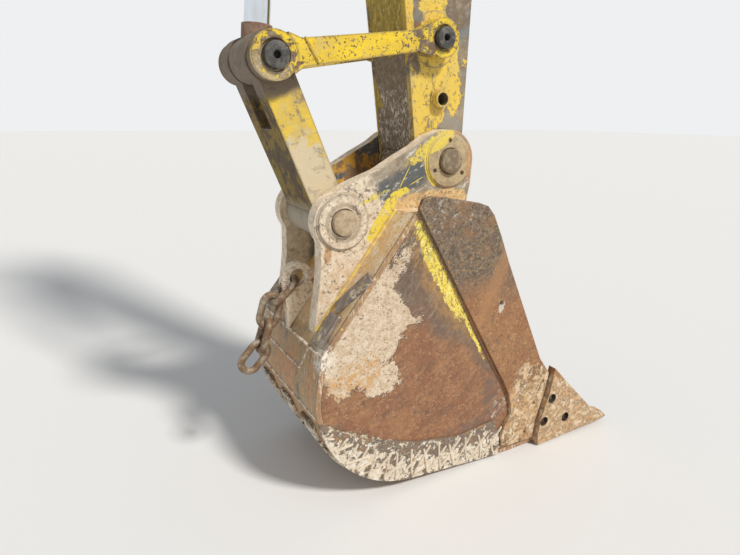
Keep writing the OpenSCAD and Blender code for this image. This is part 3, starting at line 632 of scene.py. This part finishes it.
# Ears. Two thick plates that carry the bucket on its pins, welded along the shell's back. Dried
# beige mud covers the lower part; slate grey steel and scraps of yellow show above.
lug = Coat("ear_steel")
slate = lug.either(
    lug.patch((-175, -58), (100, 54), turn=22, ragged=0.6, soft=0.3),
    lug.patch((-318, -122), (100, 48), turn=26, soft=0.4))
bare = lug.over(
    (0.36, 0.3, 0.22),
    ((0.27, 0.21, 0.14), lug.clouds(0.42, 0.58, 0.05, 8, 0.7, shift=2)),
    ((0.085, 0.1, 0.105), slate, 0.93),
    ((0.6, 0.56, 0.49), lug.clouds(0.545, 0.6, 0.026, 10, 0.78, 0.4, stretch=(2.2, 1, 0.7), turn=35)),
    ((0.24, 0.15, 0.09), lug.clouds(0.56, 0.62, 0.014, 8, 0.75, shift=9), 0.7))
grit = lug.both(lug.clouds(0.55, 0.63, 0.01, 2, 0.5, shift=3), lug.clouds(0.34, 0.56, 0.08, 4, shift=10))
tanned = lug.both(
    lug.patch((-520, -500), (100, 190), turn=-14, size=0.06, soft=0.5),
    lug.clouds(0.44, 0.6, 0.03, 8, 0.75, shift=3))
from_pin, from_link_pin = lug.reach_from(BUCKET_PIN), lug.reach_from(LINK_PIN)
wander = lug.wander(0.03, 0.05, 7, 0.7)
rubbed_ring = lug.band(lug.sum(from_link_pin, wander), 0.06, 0.078, 0.006)
outer_ring = lug.band(lug.sum(from_link_pin, wander), 0.1, 0.112, 0.005)
mud_tone = lug.over(
    (0.82, 0.7, 0.54),
    ((0.66, 0.53, 0.38), lug.clouds(0.42, 0.58, 0.03, 10, 0.76)),
    ((0.36, 0.27, 0.18), lug.clouds(0.575, 0.64, 0.0045, 5, 0.7), 0.85),
    ((0.3, 0.22, 0.15), grit, 0.65),
    ((0.66, 0.45, 0.26), tanned, 0.7),
    ((0.5, 0.27, 0.12), lug.patch((-548, -335), (16, 40), ragged=0.7, size=0.02), 0.8),
    ((0.38, 0.29, 0.2), rubbed_ring, 0.75),
    ((0.42, 0.33, 0.23), outer_ring, 0.7))
muddy = lug.either(
    lug.patch((-520, -330), (190, 330), turn=-12, ragged=0.5, size=0.08),
    lug.patch((-455, -205), (165, 130), turn=20, ragged=0.4, size=0.06))
thin = lug.both(lug.patch((-400, -95), (120, 60), turn=28, soft=0.4), 0.085)
muddy = lug.both(muddy, lug.step(lug.less(lug.grain(0.02, 9, 0.75, shift=6), thin), 0.365, 0.425))
hub = lug.step(lug.sum(from_pin, wander), 0.11, 0.104)
hub_tone = lug.over(
    (0.5, 0.38, 0.21),
    ((0.36, 0.27, 0.16), lug.clouds(0.42, 0.58, 0.03, 8, 0.72)),
    ((0.18, 0.13, 0.09), lug.clouds(0.6, 0.66, 0.008, 6, 0.7, shift=3)))
hood = lug.patch((-75, -158), (205, 42), turn=4, ragged=0.5, size=0.04)
hood_tone = lug.over(
    (0.6, 0.36, 0.15),
    ((0.72, 0.54, 0.27), lug.clouds(0.46, 0.54, 0.022, 10, 0.78, 0.4, shift=8)),
    ((0.24, 0.17, 0.11), lug.clouds(0.55, 0.6, 0.014, 8, 0.76, shift=2)))
foot_line = lug.either(
    lug.patch((-305, -207), (118, 25), turn=56, ragged=0.5, size=0.03),
    lug.patch((-232, -118), (44, 15), turn=15, ragged=0.7, size=0.03))
ragged_paint = lug.clouds(0.42, 0.46, 0.018, 9, 0.76, 0.3, shift=1)
edge_paint = lug.either(
    lug.patch((-80, 66), (132, 27), turn=33, ragged=0.9, size=0.03),
    lug.patch((-345, -128), (60, 10), turn=20, ragged=1.2, size=0.03))
arc = lug.both(
    lug.band(lug.sum(from_pin, wander), 0.104, 0.119, 0.002), lug.patch((-110, -35), (62, 95), ragged=0.3))
scratches = lug.either(
    lug.patch((-210, -59), (49, 1.8), turn=61, size=0.01),
    lug.patch((-153, -75), (40, 1.6), turn=26, size=0.01))
yellow = lug.either(
    lug.both(foot_line, ragged_paint),
    lug.both(edge_paint, lug.clouds(0.44, 0.5, 0.015, 8, 0.75, shift=4), 0.85),
    lug.both(lug.patch((-45, 78), (70, 26), turn=35, ragged=0.7, size=0.03), 0.7),
    arc,
    scratches)
rusty_rim = lug.either(
    lug.patch((118, 10), (34, 130), ragged=0.6, size=0.04),
    lug.patch((60, 112), (75, 14), turn=-28, size=0.03))
rusty_rim = lug.both(rusty_rim, lug.clouds(0.4, 0.52, 0.02, 9, 0.75, shift=7))
near_pin = lug.nearest(from_pin, from_link_pin)
inner = lug.step(lug.off_middle(), 0.1575, 0.1565)
# Inner faces: pale towards the rear edge, mud and painted sunlight on the part the sun reaches; darker
# further forward, painted shade, with orange and grey patches.
rear_mud_and_painted_light = lug.over((0.76, 0.64, 0.45), ((0.62, 0.5, 0.33), lug.clouds(0.42, 0.6, 0.05, 9, 0.72, shift=4)))
cave = lug.over(
    (0.3, 0.185, 0.095),
    ((0.68, 0.36, 0.045), lug.clouds(0.47, 0.52, 0.09, 9, 0.7, 0.3, shift=5)),
    ((0.12, 0.13, 0.135), lug.clouds(0.5, 0.53, 0.12, 7, 0.65, shift=8)),
    (rear_mud_and_painted_light, lug.step(lug.sum(lug.along(0), lug.both(lug.grain(0.1, 7), 0.08)), -0.4, -0.44)),
    ((0.42, 0.35, 0.26), lug.clouds(0.56, 0.64, 0.02, 8, 0.75, shift=2)))
rims = lug.less(lug.step(lug.off_middle(), 0.2155, 0.2145), inner)
rims = lug.both(rims, lug.step(near_pin, 0.06, 0.07))
# Edge faces between the ears' outer and inner faces: pale mud, made paler still as painted light, so that
# edges in shade look sunlit.
rim_mud_and_painted_light = lug.over((0.93, 0.79, 0.61), ((0.74, 0.58, 0.4), lug.clouds(0.46, 0.56, 0.03, 9, 0.75, shift=5)))
tone = lug.over(
    bare,
    (mud_tone, muddy),
    (hub_tone, hub),
    (hood_tone, hood, lug.clouds(0.41, 0.46, 0.03, 10, 0.78, shift=3)),
    ((0.8, 0.62, 0.07), yellow),
    ((0.5, 0.24, 0.085), rusty_rim, 0.8),
    ((0.52, 0.45, 0.35), lug.worn_edges(0.01), 0.6),
    # A near-black ring round each pin's end: painted shadow of the gap round the pin.
    ((0.035, 0.025, 0.018), lug.step(near_pin, 0.057, 0.053), 0.9),
    (cave, inner),
    (rim_mud_and_painted_light, rims, 0.85))
lumps = lug.both(muddy, lug.sum(lug.grain(0.012, 8, 0.72), 0.4))
ear_steel = lug.done(tone, 0.8, lug.sum(lumps, lug.both(lug.grain(0.006, 6), 0.4)), 0.0026)
rounded(ear_steel, 0.004, "ear_near", "ear_far", "ear_rings")

old = Coat("ear_weld_paint")
tone = old.over((0.78, 0.57, 0.11), ((0.58, 0.38, 0.15), old.clouds(0.42, 0.58, 0.04, 8, 0.7)))
ear_weld_paint = old.done(tone, 0.7, old.grain(0.006, 6), 0.001)
FEET_Y = (-0.2185, -0.1525, 0.1525, 0.2185)  # depths, on both faces of each ear
ear_foot = [(-248, -182), (-430, -418), (-606, -646)]
feet = [weld_bead(side_points(ear_foot, y), 0.009) for y in FEET_Y]
new_piece("ear_foot_welds", feet, ear_weld_paint, "bucket", "ear_steel")
EAR_FACE = 0.2115  # depth of the ears' outer faces
wavy = [(-190, -93), (-176, -112), (-163, -98), (-152, -119), (-142, -103), (-132, -120), (-118, -106),
        (-106, -121), (-94, -107), (-78, -118)]
wavy_bead = weld_bead(side_points(wavy, -EAR_FACE), 0.0028, sides=6)
new_piece("ear_wavy_bead", [wavy_bead], ear_weld_paint, "bucket", "ear_steel")
ring_beads = [weld_bead(ring_path(mid, 107, side * (EAR_FACE + 0.005)), 0.0045, closed=True)
              for side in (-1, 1) for mid in (LINK_PIN, BUCKET_PIN)]
new_piece("ear_ring_welds", ring_beads, ear_steel, "bucket", "ear_steel")

# Side panels. Flat plates in the shell's ends, scoured rust brown. Dried pale mud clings to their
# rear half, and a strip of yellow paint survives beside the side bars.
wall = Coat("side_panel_steel")
rust = wall.over(
    (0.245, 0.105, 0.047),
    ((0.295, 0.14, 0.062), wall.clouds(0.42, 0.6, 0.12, 7, 0.62)),
    ((0.175, 0.085, 0.047), wall.clouds(0.54, 0.66, 0.05, 9, 0.72, shift=3, stretch=(2, 1, 1))),
    ((0.42, 0.26, 0.15), wall.clouds(0.58, 0.66, 0.006, 6, 0.7, shift=1), 0.6),
    ((0.13, 0.075, 0.05), wall.clouds(0.62, 0.68, 0.0045, 4, 0.6, shift=5), 0.5),
    ((0.5, 0.3, 0.16), wall.clouds(0.53, 0.66, 0.01, 3, 0.65, shift=7), 0.55),
    ((0.12, 0.062, 0.038), wall.clouds(0.53, 0.66, 0.014, 3, 0.65, shift=9), 0.6),
    ((0.15, 0.075, 0.042), wall.clouds(0.5, 0.64, 0.07, 6, 0.62, stretch=(2.4, 1, 0.8), turn=25, shift=12),
     0.5),
    ((0.4, 0.21, 0.105), wall.clouds(0.52, 0.66, 0.05, 7, 0.66, stretch=(2.0, 1, 0.8), turn=30, shift=13),
     0.5))
dark = wall.over(
    (0.135, 0.092, 0.064),
    ((0.21, 0.15, 0.105), wall.clouds(0.45, 0.62, 0.02, 9, 0.75)),
    ((0.4, 0.34, 0.27), wall.clouds(0.56, 0.64, 0.018, 9, 0.76, stretch=(4, 1, 0.7), turn=55, shift=2),
     0.75))
darker = wall.either(
    wall.patch((-180, -420), (230, 80), turn=-63, ragged=0.6, size=0.07, soft=0.25),
    wall.patch((-60, -640), (150, 85), turn=-40, ragged=0.6, size=0.08, soft=0.3),
    wall.patch((-285, -440), (190, 95), turn=-62, ragged=0.7, size=0.07, soft=0.3))
beside_bar = wall.both(
    wall.patch((95, -790), (240, 46), turn=-55, ragged=0.7, size=0.06, soft=0.5),
    wall.clouds(0.38, 0.56, 0.04, 8, 0.72, stretch=(2, 1, 1), turn=-40, shift=11))
lower_front = wall.either(
    wall.patch((205, -1080), (45, 160), turn=12, ragged=0.9, size=0.06, soft=0.5),
    wall.patch((40, -1195), (230, 34), turn=9, ragged=0.9, size=0.06, soft=0.5))
streaky = wall.clouds(0.38, 0.58, 0.03, 9, 0.76, stretch=(3, 1, 1), turn=20, shift=9)
chalky = wall.either(
    wall.patch((265, -1115), (55, 75), size=0.04),
    wall.patch((-225, -275), (70, 100), turn=-50))
scoured = wall.clouds(0.53, 0.59, 0.014, 9, 0.78, 0.4, stretch=(2.5, 1, 0.8), turn=40, shift=4)
grit = wall.both(
    wall.clouds(0.59, 0.64, 0.011, 2, 0.5, shift=3),
    wall.clouds(0.36, 0.54, 0.07, 4, shift=10))
mud_tone = wall.over(
    (0.74, 0.6, 0.445),
    ((0.57, 0.42, 0.275), wall.clouds(0.42, 0.6, 0.025, 10, 0.78)),
    ((0.62, 0.37, 0.16), wall.patch((-520, -820), (150, 75), turn=25, ragged=0.9),
     wall.clouds(0.46, 0.56, 0.03, 9, 0.76, shift=7)),
    ((0.25, 0.165, 0.1), wall.clouds(0.565, 0.61, 0.005, 6, 0.7, 0.2, shift=2)),
    ((0.22, 0.15, 0.1), grit, 0.75),
    ((0.72, 0.62, 0.48), wall.clouds(0.55, 0.64, 0.03, 8, 0.75, shift=8), 0.5))
field = wall.either(
    wall.patch((-450, -585), (255, 190), turn=52, ragged=0.5, size=0.09, soft=0.28),
    wall.patch((-268, -562), (110, 78), turn=15, ragged=0.7, size=0.06, soft=0.4),
    wall.patch((-385, -838), (85, 75), soft=0.4),
    wall.patch((-525, -780), (120, 90), turn=30, size=0.06, soft=0.35))
notch = wall.patch((-235, -455), (165, 85), turn=-62, ragged=0.7, soft=0.3)
spur = wall.both(wall.patch((-312, -380), (130, 36), turn=57, ragged=0.9, size=0.04, soft=0.5), 0.62)
crust = wall.sum(
    wall.either(wall.less(field, notch), spur),
    wall.wander(1, 0.016, 6, 0.75, stretch=(1.3, 1, 0.9), turn=40, shift=5),
    wall.wander(1, 0.005, 2, 0.5, shift=6))
wisps = wall.both(
    wall.clouds(0.5, 0.6, 0.022, 9, 0.78, 0.3, stretch=(5, 1, 0.6), turn=57, shift=8),
    wall.patch((-330, -400), (215, 105), turn=54, ragged=0.4, size=0.08, soft=0.4))
caked = wall.either(wall.step(crust, 0.44, 0.54), wisps)
crumbs = wall.both(
    wall.patch((-628, -708), (38, 62), ragged=1.0, size=0.03),
    wall.clouds(0.44, 0.52, 0.012, 8, 0.75, shift=3))
strip = wall.either(
    wall.patch((-118, -428), (245, 36), turn=-60.5, ragged=0.75, size=0.035),
    wall.patch((48, -690), (165, 10), turn=-60.5, ragged=1.1, size=0.025),
    wall.patch((-222, -235), (60, 16), turn=-72, ragged=0.5, size=0.03))
glow = wall.patch((-125, -440), (290, 72), turn=-60.5, ragged=0.35, soft=0.5)
glow = wall.both(glow, wall.clouds(0.38, 0.58, 0.03, 9, 0.76, stretch=(1, 1, 2), turn=25, shift=12))
strip = wall.both(strip, wall.clouds(0.42, 0.48, 0.016, 10, 0.78, stretch=(1, 1, 2), turn=25))
strip = wall.less(strip, wall.both(wall.clouds(0.57, 0.63, 0.009, 2, 0.5, shift=16), 0.75))
# Darker along the panel's rear rim: painted shade, toning down the sun on the edge that faces up.
rear_rim_painted_shade = wall.patch((-450, -437), (310, 13), turn=52.3, ragged=0.5, size=0.03)
tone = wall.over(
    rust,
    (dark, darker, 0.85),
    (dark, beside_bar, 0.8),
    ((0.15, 0.105, 0.08), lower_front, streaky, 0.7),
    ((0.6, 0.52, 0.43), chalky, scoured),
    (mud_tone, caked),
    ((0.82, 0.74, 0.62), crumbs),
    ((0.44, 0.24, 0.07), glow, 0.75),
    ((0.8, 0.63, 0.09), strip),
    ((0.9, 0.8, 0.4), strip, wall.clouds(0.5, 0.62, 0.02, 7, 0.7, shift=7), 0.6),
    ((0.36, 0.25, 0.14), rear_rim_painted_shade, wall.clouds(0.4, 0.55, 0.03, 9, 0.76, shift=4)))


def heel_mud(coat, edge):
    """Mask of the mud packed over the heel: what lies more than edge metres from a point high above it."""
    jagged = coat.wander(0.16, 0.04, 9, 0.74, shift=2)
    return coat.step(coat.sum(coat.reach_from((60, -100)), jagged), edge, edge + 0.010)


low = wall.both(heel_mud(wall, 1.098), wall.step(wall.along(0), -0.26, -0.36))
low_tone = wall.over(
    (0.6, 0.49, 0.355),
    ((0.3, 0.175, 0.1), wall.clouds(0.52, 0.58, 0.03, 9, 0.78, 0.4, shift=1)))
outer_face = wall.step(wall.off_middle(), 0.348, 0.353)
tone = wall.over(rust, (wall.over(tone, (low_tone, low)), outer_face))
muddy = wall.either(caked, low)
lumps = wall.both(muddy, wall.sum(wall.grain(0.012, 9, 0.75), 0.5))
side_panel_steel = wall.done(
    tone, wall.blend(0.55, 0.9, muddy), wall.sum(lumps, wall.both(wall.grain(0.005, 7), 0.35)), 0.0042)
rounded(side_panel_steel, 0.003, "side_panel_near", "side_panel_far")

# Shell and hinge plate. Thick sheet rolled round the back and floor, olive and rust brown,
# polished by soil behind. Weld beads join its strakes; paler dirt lies near the ears.
hide = Coat("wrapper_steel")
upper = hide.step(hide.sum(hide.along(2), hide.wander(0.15, 0.08, 6)), -3.86, -3.8)
sloping = hide.over(
    (0.84, 0.62, 0.37),
    ((0.76, 0.49, 0.24), hide.clouds(0.42, 0.6, 0.04, 9, 0.75)),
    ((0.9, 0.77, 0.59), hide.clouds(0.5, 0.6, 0.05, 8, 0.72, shift=2)),
    ((0.22, 0.14, 0.08), hide.clouds(0.58, 0.64, 0.01, 7, 0.7, shift=6)))
near_end = hide.step(hide.off_middle(), 0.3445, 0.3465)
near_tone = hide.over(
    (0.36, 0.185, 0.08),
    ((0.25, 0.14, 0.07), hide.clouds(0.42, 0.58, 0.03, 8, 0.74, stretch=(1, 1, 2), shift=7)),
    ((0.7, 0.6, 0.46), hide.clouds(0.55, 0.66, 0.01, 3, 0.65, stretch=(1, 1, 3), shift=14), 0.8))
streaks = hide.both(
    hide.clouds(0.56, 0.64, 0.01, 5, 0.7, stretch=(1, 1, 7), shift=12),
    hide.clouds(0.38, 0.56, 0.09, 5, 0.65, shift=13))
corner_lump = hide.both(
    hide.patch((-640, -700), (42, 52), turn=-20, ragged=0.9, size=0.03, soft=0.3),
    hide.step(hide.off_middle(), 0.25, 0.33),
    hide.clouds(0.42, 0.52, 0.012, 6, 0.75, shift=15))
tone = hide.over(
    (0.52, 0.245, 0.088),
    ((0.41, 0.275, 0.125), hide.clouds(0.42, 0.56, 0.13, 7, 0.62, stretch=(1, 1, 1.8))),
    ((0.68, 0.46, 0.25), hide.clouds(0.53, 0.64, 0.012, 4, 0.7, shift=8, stretch=(1, 1, 1.5)), 0.55),
    ((0.12, 0.08, 0.05), hide.clouds(0.54, 0.64, 0.016, 4, 0.7, shift=1, stretch=(1, 1, 1.8)), 0.6),
    ((0.17, 0.125, 0.085), hide.clouds(0.54, 0.64, 0.05, 9, 0.72, shift=3, stretch=(1, 1, 2.2))),
    ((0.5, 0.28, 0.1), hide.clouds(0.53, 0.6, 0.08, 8, 0.72, shift=5, stretch=(1, 1, 1.6)), 0.8),
    (sloping, upper, 0.9),
    (near_tone, near_end, 0.9),
    ((0.76, 0.66, 0.5), streaks, 0.65),
    ((0.72, 0.5, 0.09), upper, hide.clouds(0.57, 0.61, 0.03, 8, 0.72, shift=9)),
    ((0.62, 0.54, 0.43), hide.clouds(0.61, 0.66, 0.03, 9, 0.76, shift=6), 0.6),
    ((0.42, 0.34, 0.25), hide.worn_edges(0.012), 0.5),
    ((0.86, 0.8, 0.7), corner_lump, 0.9))
wrapper_steel = hide.done(
    tone, hide.blend(0.4, 0.8, upper),
    hide.sum(hide.grain(0.008, 8, 0.7), hide.both(hide.grain(0.05, 4), 0.6)), 0.002)
rounded(wrapper_steel, 0.002, "wrapper", "hinge_plate")

seam = Coat("seam_painted_highlight")
# The beads' pale tone is a painted highlight, their sunlit glint, over brown.
tone = seam.over((0.84, 0.74, 0.6), ((0.4, 0.26, 0.15), seam.clouds(0.44, 0.57, 0.03, 8, 0.7)))
seam_painted_highlight = seam.done(tone, 0.55, seam.grain(0.006, 6), 0.001)
SHELL_HALF = 0.350  # half the shell's width
strakes = [
    [(-0.6395, -SHELL_HALF, -3.890), (-0.6395, SHELL_HALF, -3.890)],
    [(-0.6585, -0.174, -4.001), (-0.6585, SHELL_HALF, -4.001)],
    [(-0.6585, -0.174, -4.001), (-0.6400, -0.231, -3.892)],
    [(-0.6645, -SHELL_HALF, -4.145), (-0.6645, SHELL_HALF, -4.145)]]
beads = [weld_bead(line, 0.0055) for line in strakes]
new_piece("shell_seams", beads, seam_painted_highlight, "bucket", "bucket_steel")

# Side bars, cutters and lip. Abrasion plates bolted and welded over the mouth's edge, rust
# brown below and dark above, with pale mud trapped round the cutters and their sunk bolts.
bar = Coat("bar_steel")
rust = bar.over(
    (0.275, 0.125, 0.052),
    ((0.32, 0.16, 0.068), bar.clouds(0.42, 0.6, 0.1, 7, 0.62)),
    ((0.2, 0.11, 0.065), bar.clouds(0.54, 0.66, 0.04, 9, 0.72, shift=3)),
    ((0.46, 0.3, 0.17), bar.clouds(0.58, 0.66, 0.006, 6, 0.7, shift=1), 0.6),
    ((0.52, 0.31, 0.15), bar.clouds(0.53, 0.66, 0.01, 3, 0.65, shift=7), 0.55),
    ((0.13, 0.07, 0.04), bar.clouds(0.53, 0.66, 0.014, 3, 0.65, shift=9), 0.6))
scuffs = bar.both(
    bar.clouds(0.55, 0.61, 0.04, 9, 0.76, 0.5, shift=5),
    bar.patch((-90, -190), (190, 60), turn=5, size=0.06))
dark = bar.over(
    (0.125, 0.088, 0.062),
    ((0.19, 0.135, 0.09), bar.clouds(0.45, 0.62, 0.02, 9, 0.75)),
    ((0.44, 0.33, 0.13), bar.clouds(0.55, 0.61, 0.0045, 6, 0.76, 0.4),
     bar.clouds(0.4, 0.6, 0.06, 7, 0.7, shift=4)),
    ((0.34, 0.26, 0.17), bar.clouds(0.53, 0.64, 0.011, 3, 0.65, shift=2), 0.6),
    ((0.055, 0.04, 0.03), bar.clouds(0.52, 0.62, 0.013, 3, 0.65, shift=3), 0.7),
    ((0.46, 0.23, 0.08), bar.clouds(0.55, 0.62, 0.022, 9, 0.78, shift=1), 0.7),
    ((0.44, 0.39, 0.34), scuffs, 0.85),
    ((0.27, 0.14, 0.06), bar.clouds(0.52, 0.64, 0.09, 8, 0.7, shift=8), 0.55))
top_part = bar.step(bar.sum(bar.along(2), bar.wander(0.4, 0.12, 7, 0.65)), -3.84, -3.6)
front_edge = bar.patch((205, -410), (36, 330), turn=-25, ragged=0.6, soft=0.5)
drip = bar.patch((204, -618), (15, 27), turn=-15, ragged=0.9, size=0.02)
mud_tone = bar.over(
    (0.71, 0.53, 0.34),
    ((0.56, 0.34, 0.16), bar.clouds(0.42, 0.58, 0.05, 9, 0.72)),
    ((0.83, 0.71, 0.53), bar.clouds(0.51, 0.58, 0.028, 12, 0.82, shift=6), 0.8))
trapped = bar.either(
    bar.patch((440, -1060), (135, 110), turn=-60, ragged=0.65, size=0.06),
    bar.patch((420, -1260), (200, 130), ragged=0.6, size=0.07),
    bar.patch((720, -1260), (300, 170), turn=-30, ragged=0.6, size=0.06))
trapped = bar.both(trapped, bar.clouds(0.46, 0.51, 0.045, 12, 0.8, shift=4))
CUTTER_BOLTS = ((557, -1140), (517, -1254), (663, -1268))
from_bolt = bar.nearest(*[bar.reach_from(mid) for mid in CUTTER_BOLTS])
tone = bar.over(
    rust,
    (dark, top_part),
    ((0.4, 0.2, 0.085), front_edge, 0.6),
    ((0.54, 0.48, 0.4), drip),
    ((0.66, 0.42, 0.22), bar.patch((620, -1240), (340, 200), turn=-20, ragged=0.5), 0.8),
    (mud_tone, trapped),
    ((0.5, 0.3, 0.15), bar.worn_edges(0.008), 0.5),
    # Near black in the cutters' bolt holes: painted shade in the sunk holes.
    ((0.06, 0.04, 0.028), bar.step(from_bolt, 0.0246, 0.0242), 0.92))
lumps = bar.both(trapped, bar.sum(bar.grain(0.012, 9, 0.75), 0.3))
bar_steel = bar.done(tone, 0.66, bar.sum(lumps, bar.both(bar.grain(0.006, 7), 0.5)), 0.0036)
rounded(bar_steel, 0.003, "side_bar_near", "side_bar_far", "lip", "cutter_near", "cutter_far",
        "cutter_bolts")
BAR_FACE = 0.3565  # depth of the weld along each side bar's rear edge
bar_beads = [weld_bead(side_points([(-236, -168), (226, -955)], y), 0.005) for y in (-BAR_FACE, BAR_FACE)]
new_piece("side_bar_welds", bar_beads, bar_steel, "bucket", "bar_steel")

# Heel bands. Crossed beads of hard weld laid by hand over the heel's corner, where it wears
# most, packed with whitish mud. Wear strips bend round the heel's back.
hard = Coat("heel_band_steel")
packed = hard.either(
    heel_mud(hard, 1.16),
    hard.both(heel_mud(hard, 1.1), hard.clouds(0.49, 0.54, 0.045, 7, 0.74, shift=5)))
packed = hard.both(packed, hard.clouds(0.43, 0.48, 0.045, 11, 0.76, 0.3, shift=2))
mud_tone = hard.over(
    (0.64, 0.53, 0.39),
    ((0.8, 0.73, 0.61), hard.clouds(0.46, 0.54, 0.02, 10, 0.78, shift=4)),
    ((0.4, 0.25, 0.13), hard.clouds(0.6, 0.65, 0.01, 6, 0.7, shift=9)))
tone = hard.over(
    (0.22, 0.155, 0.11),
    ((0.155, 0.115, 0.085), hard.clouds(0.45, 0.6, 0.03, 8, 0.72)),
    ((0.4, 0.21, 0.085), hard.clouds(0.52, 0.6, 0.05, 8, 0.74, shift=7), 0.7),
    (mud_tone, packed, 0.95))
lumps = hard.both(packed, hard.sum(hard.grain(0.016, 8, 0.72), 0.4))
heel_band_steel = hard.done(tone, 0.88, hard.sum(lumps, hard.both(hard.grain(0.006, 6), 0.3)), 0.004)
rounded(heel_band_steel, 0.003, "heel_band_near", "heel_band_far", "wear_strips")

HEEL_MID, HEEL_R = np.array([-192.0, -868.0]), 478.0
HEEL_START, HEEL_END, FLOOR_FALL = np.radians([197, 266, 4])
FLOOR_RUN = np.array([math.cos(FLOOR_FALL), -math.sin(FLOOR_FALL)])


def heel_point(gone, rise):
    """A place on the band: gone millimetres along the heel's rim from behind, then rise inwards from it.

    The rim is an arc about the heel's centre, and then the straight floor that leaves it.
    """
    turn = HEEL_START + gone / HEEL_R
    over = np.maximum(0.0, turn - HEEL_END) * HEEL_R
    turn = np.minimum(turn, HEEL_END)
    out = np.stack([np.cos(turn), np.sin(turn)], -1)
    return HEEL_MID + out * (HEEL_R - rise)[..., None] + over[..., None] * FLOOR_RUN


rng = np.random.default_rng(7)
BEADS = 14
BAND_FACE = 0.3640  # depth of the bands' outer faces
starts = np.linspace(30, 1035, BEADS)
heights = np.interp(starts, [0, 120, 300, 700, 950, 1040], [30, 96, 140, 158, 164, 120])
laid = []
for slope, lean in ((1, 34), (-1, 92)):
    foot = np.stack([starts + rng.uniform(-8, 8, BEADS), rng.uniform(6, 16, BEADS)], -1)
    head = np.stack([foot[:, 0] - slope * lean * heights / 160 * rng.uniform(0.7, 1.3, BEADS),
                     heights * rng.uniform(0.78, 1.0, BEADS)], -1)
    t = np.linspace(0, 1, 5)[None, :, None]
    bow = 6 * np.sin(math.pi * t) * rng.uniform(-1, 1, (BEADS, 1, 1)) * np.array([1, 0.2])
    lines = foot[:, None] * (1 - t) + head[:, None] * t + bow
    laid.append(heel_point(lines[..., 0], lines[..., 1]))
laid = np.concatenate(laid)
bead = Coat("heel_bead_steel")
tone = bead.over((0.68, 0.58, 0.45), ((0.44, 0.31, 0.2), bead.clouds(0.52, 0.6, 0.04, 8, 0.72)))
heel_bead_steel = bead.done(tone, 0.8, bead.grain(0.006, 6), 0.0015)
for side, name in ((-1, "heel_beads_near"), (1, "heel_beads_far")):
    parts = [weld_bead(side_points(line, side * BAND_FACE), 0.0055, sides=7) for line in laid]
    new_piece(name, parts, heel_bead_steel, "bucket", "bar_steel")

# Corner bars. Short dark bars welded over the shell's rear corners, streaked by wear.
dull = Coat("corner_bar_steel")
tone = dull.over(
    (0.19, 0.145, 0.115),
    ((0.31, 0.26, 0.215), dull.clouds(0.45, 0.6, 0.014, 9, 0.76, stretch=(4, 1, 0.7), turn=50)),
    ((0.58, 0.5, 0.38), dull.clouds(0.56, 0.6, 0.05, 9, 0.74, shift=3)),
    ((0.58, 0.45, 0.14), dull.clouds(0.58, 0.62, 0.05, 7, 0.7, shift=6), 0.7),
    ((0.1, 0.075, 0.06), dull.worn_edges(0.006), 0.5))
corner_bar_steel = dull.done(tone, 0.6, dull.grain(0.008, 8, 0.72), 0.002)
rounded(corner_bar_steel, 0.004, "corner_bars")

# Lifting eye and chain. A thick plate welded to the shell's back, with a rusty welded chain
# hooked through it and hanging down behind the bucket, its links polished where they rub.
eye_wear_and_light = Coat("lifting_eye_painted_light")
# The plate's pale tones are painted sunlight, for it lies in the near ear's shade; its worn rims are paler
# still.
tone = eye_wear_and_light.over(
    (0.9, 0.7, 0.48),
    ((0.97, 0.84, 0.64), eye_wear_and_light.clouds(0.42, 0.56, 0.03, 9, 0.75)),
    ((0.96, 0.88, 0.74), eye_wear_and_light.clouds(0.57, 0.64, 0.02, 9, 0.75, shift=4)),
    ((0.42, 0.29, 0.18), eye_wear_and_light.clouds(0.52, 0.62, 0.018, 3, 0.65, shift=11), 0.55),
    ((0.34, 0.16, 0.1), eye_wear_and_light.clouds(0.57, 0.63, 0.05, 7, 0.7, shift=8)),
    ((0.98, 0.9, 0.76), eye_wear_and_light.worn_edges(0.01), 0.7))
lifting_eye_painted_light = eye_wear_and_light.done(tone, 0.6, eye_wear_and_light.grain(0.01, 8, 0.7), 0.003)
rounded(lifting_eye_painted_light, 0.006, "lifting_eye")

iron = Coat("chain_steel")
polish = iron.clouds(0.52, 0.6, 0.04, 7, 0.7, shift=9)
tone = iron.over(
    (0.185, 0.105, 0.055),
    ((0.25, 0.17, 0.1), iron.clouds(0.45, 0.6, 0.02, 8, 0.72)),
    ((0.36, 0.3, 0.215), iron.clouds(0.5, 0.6, 0.05, 7, 0.65, shift=3)),
    ((0.085, 0.055, 0.035), iron.clouds(0.58, 0.66, 0.01, 6, 0.72, shift=6)),
    ((0.4, 0.33, 0.25), polish, 0.6))
chain_steel = iron.done(
    tone, iron.blend(0.6, 0.34, polish), iron.grain(0.007, 7, 0.7), 0.0018,
    metal=iron.blend(0.2, 0.75, polish))
rounded(chain_steel, 0, "chain")
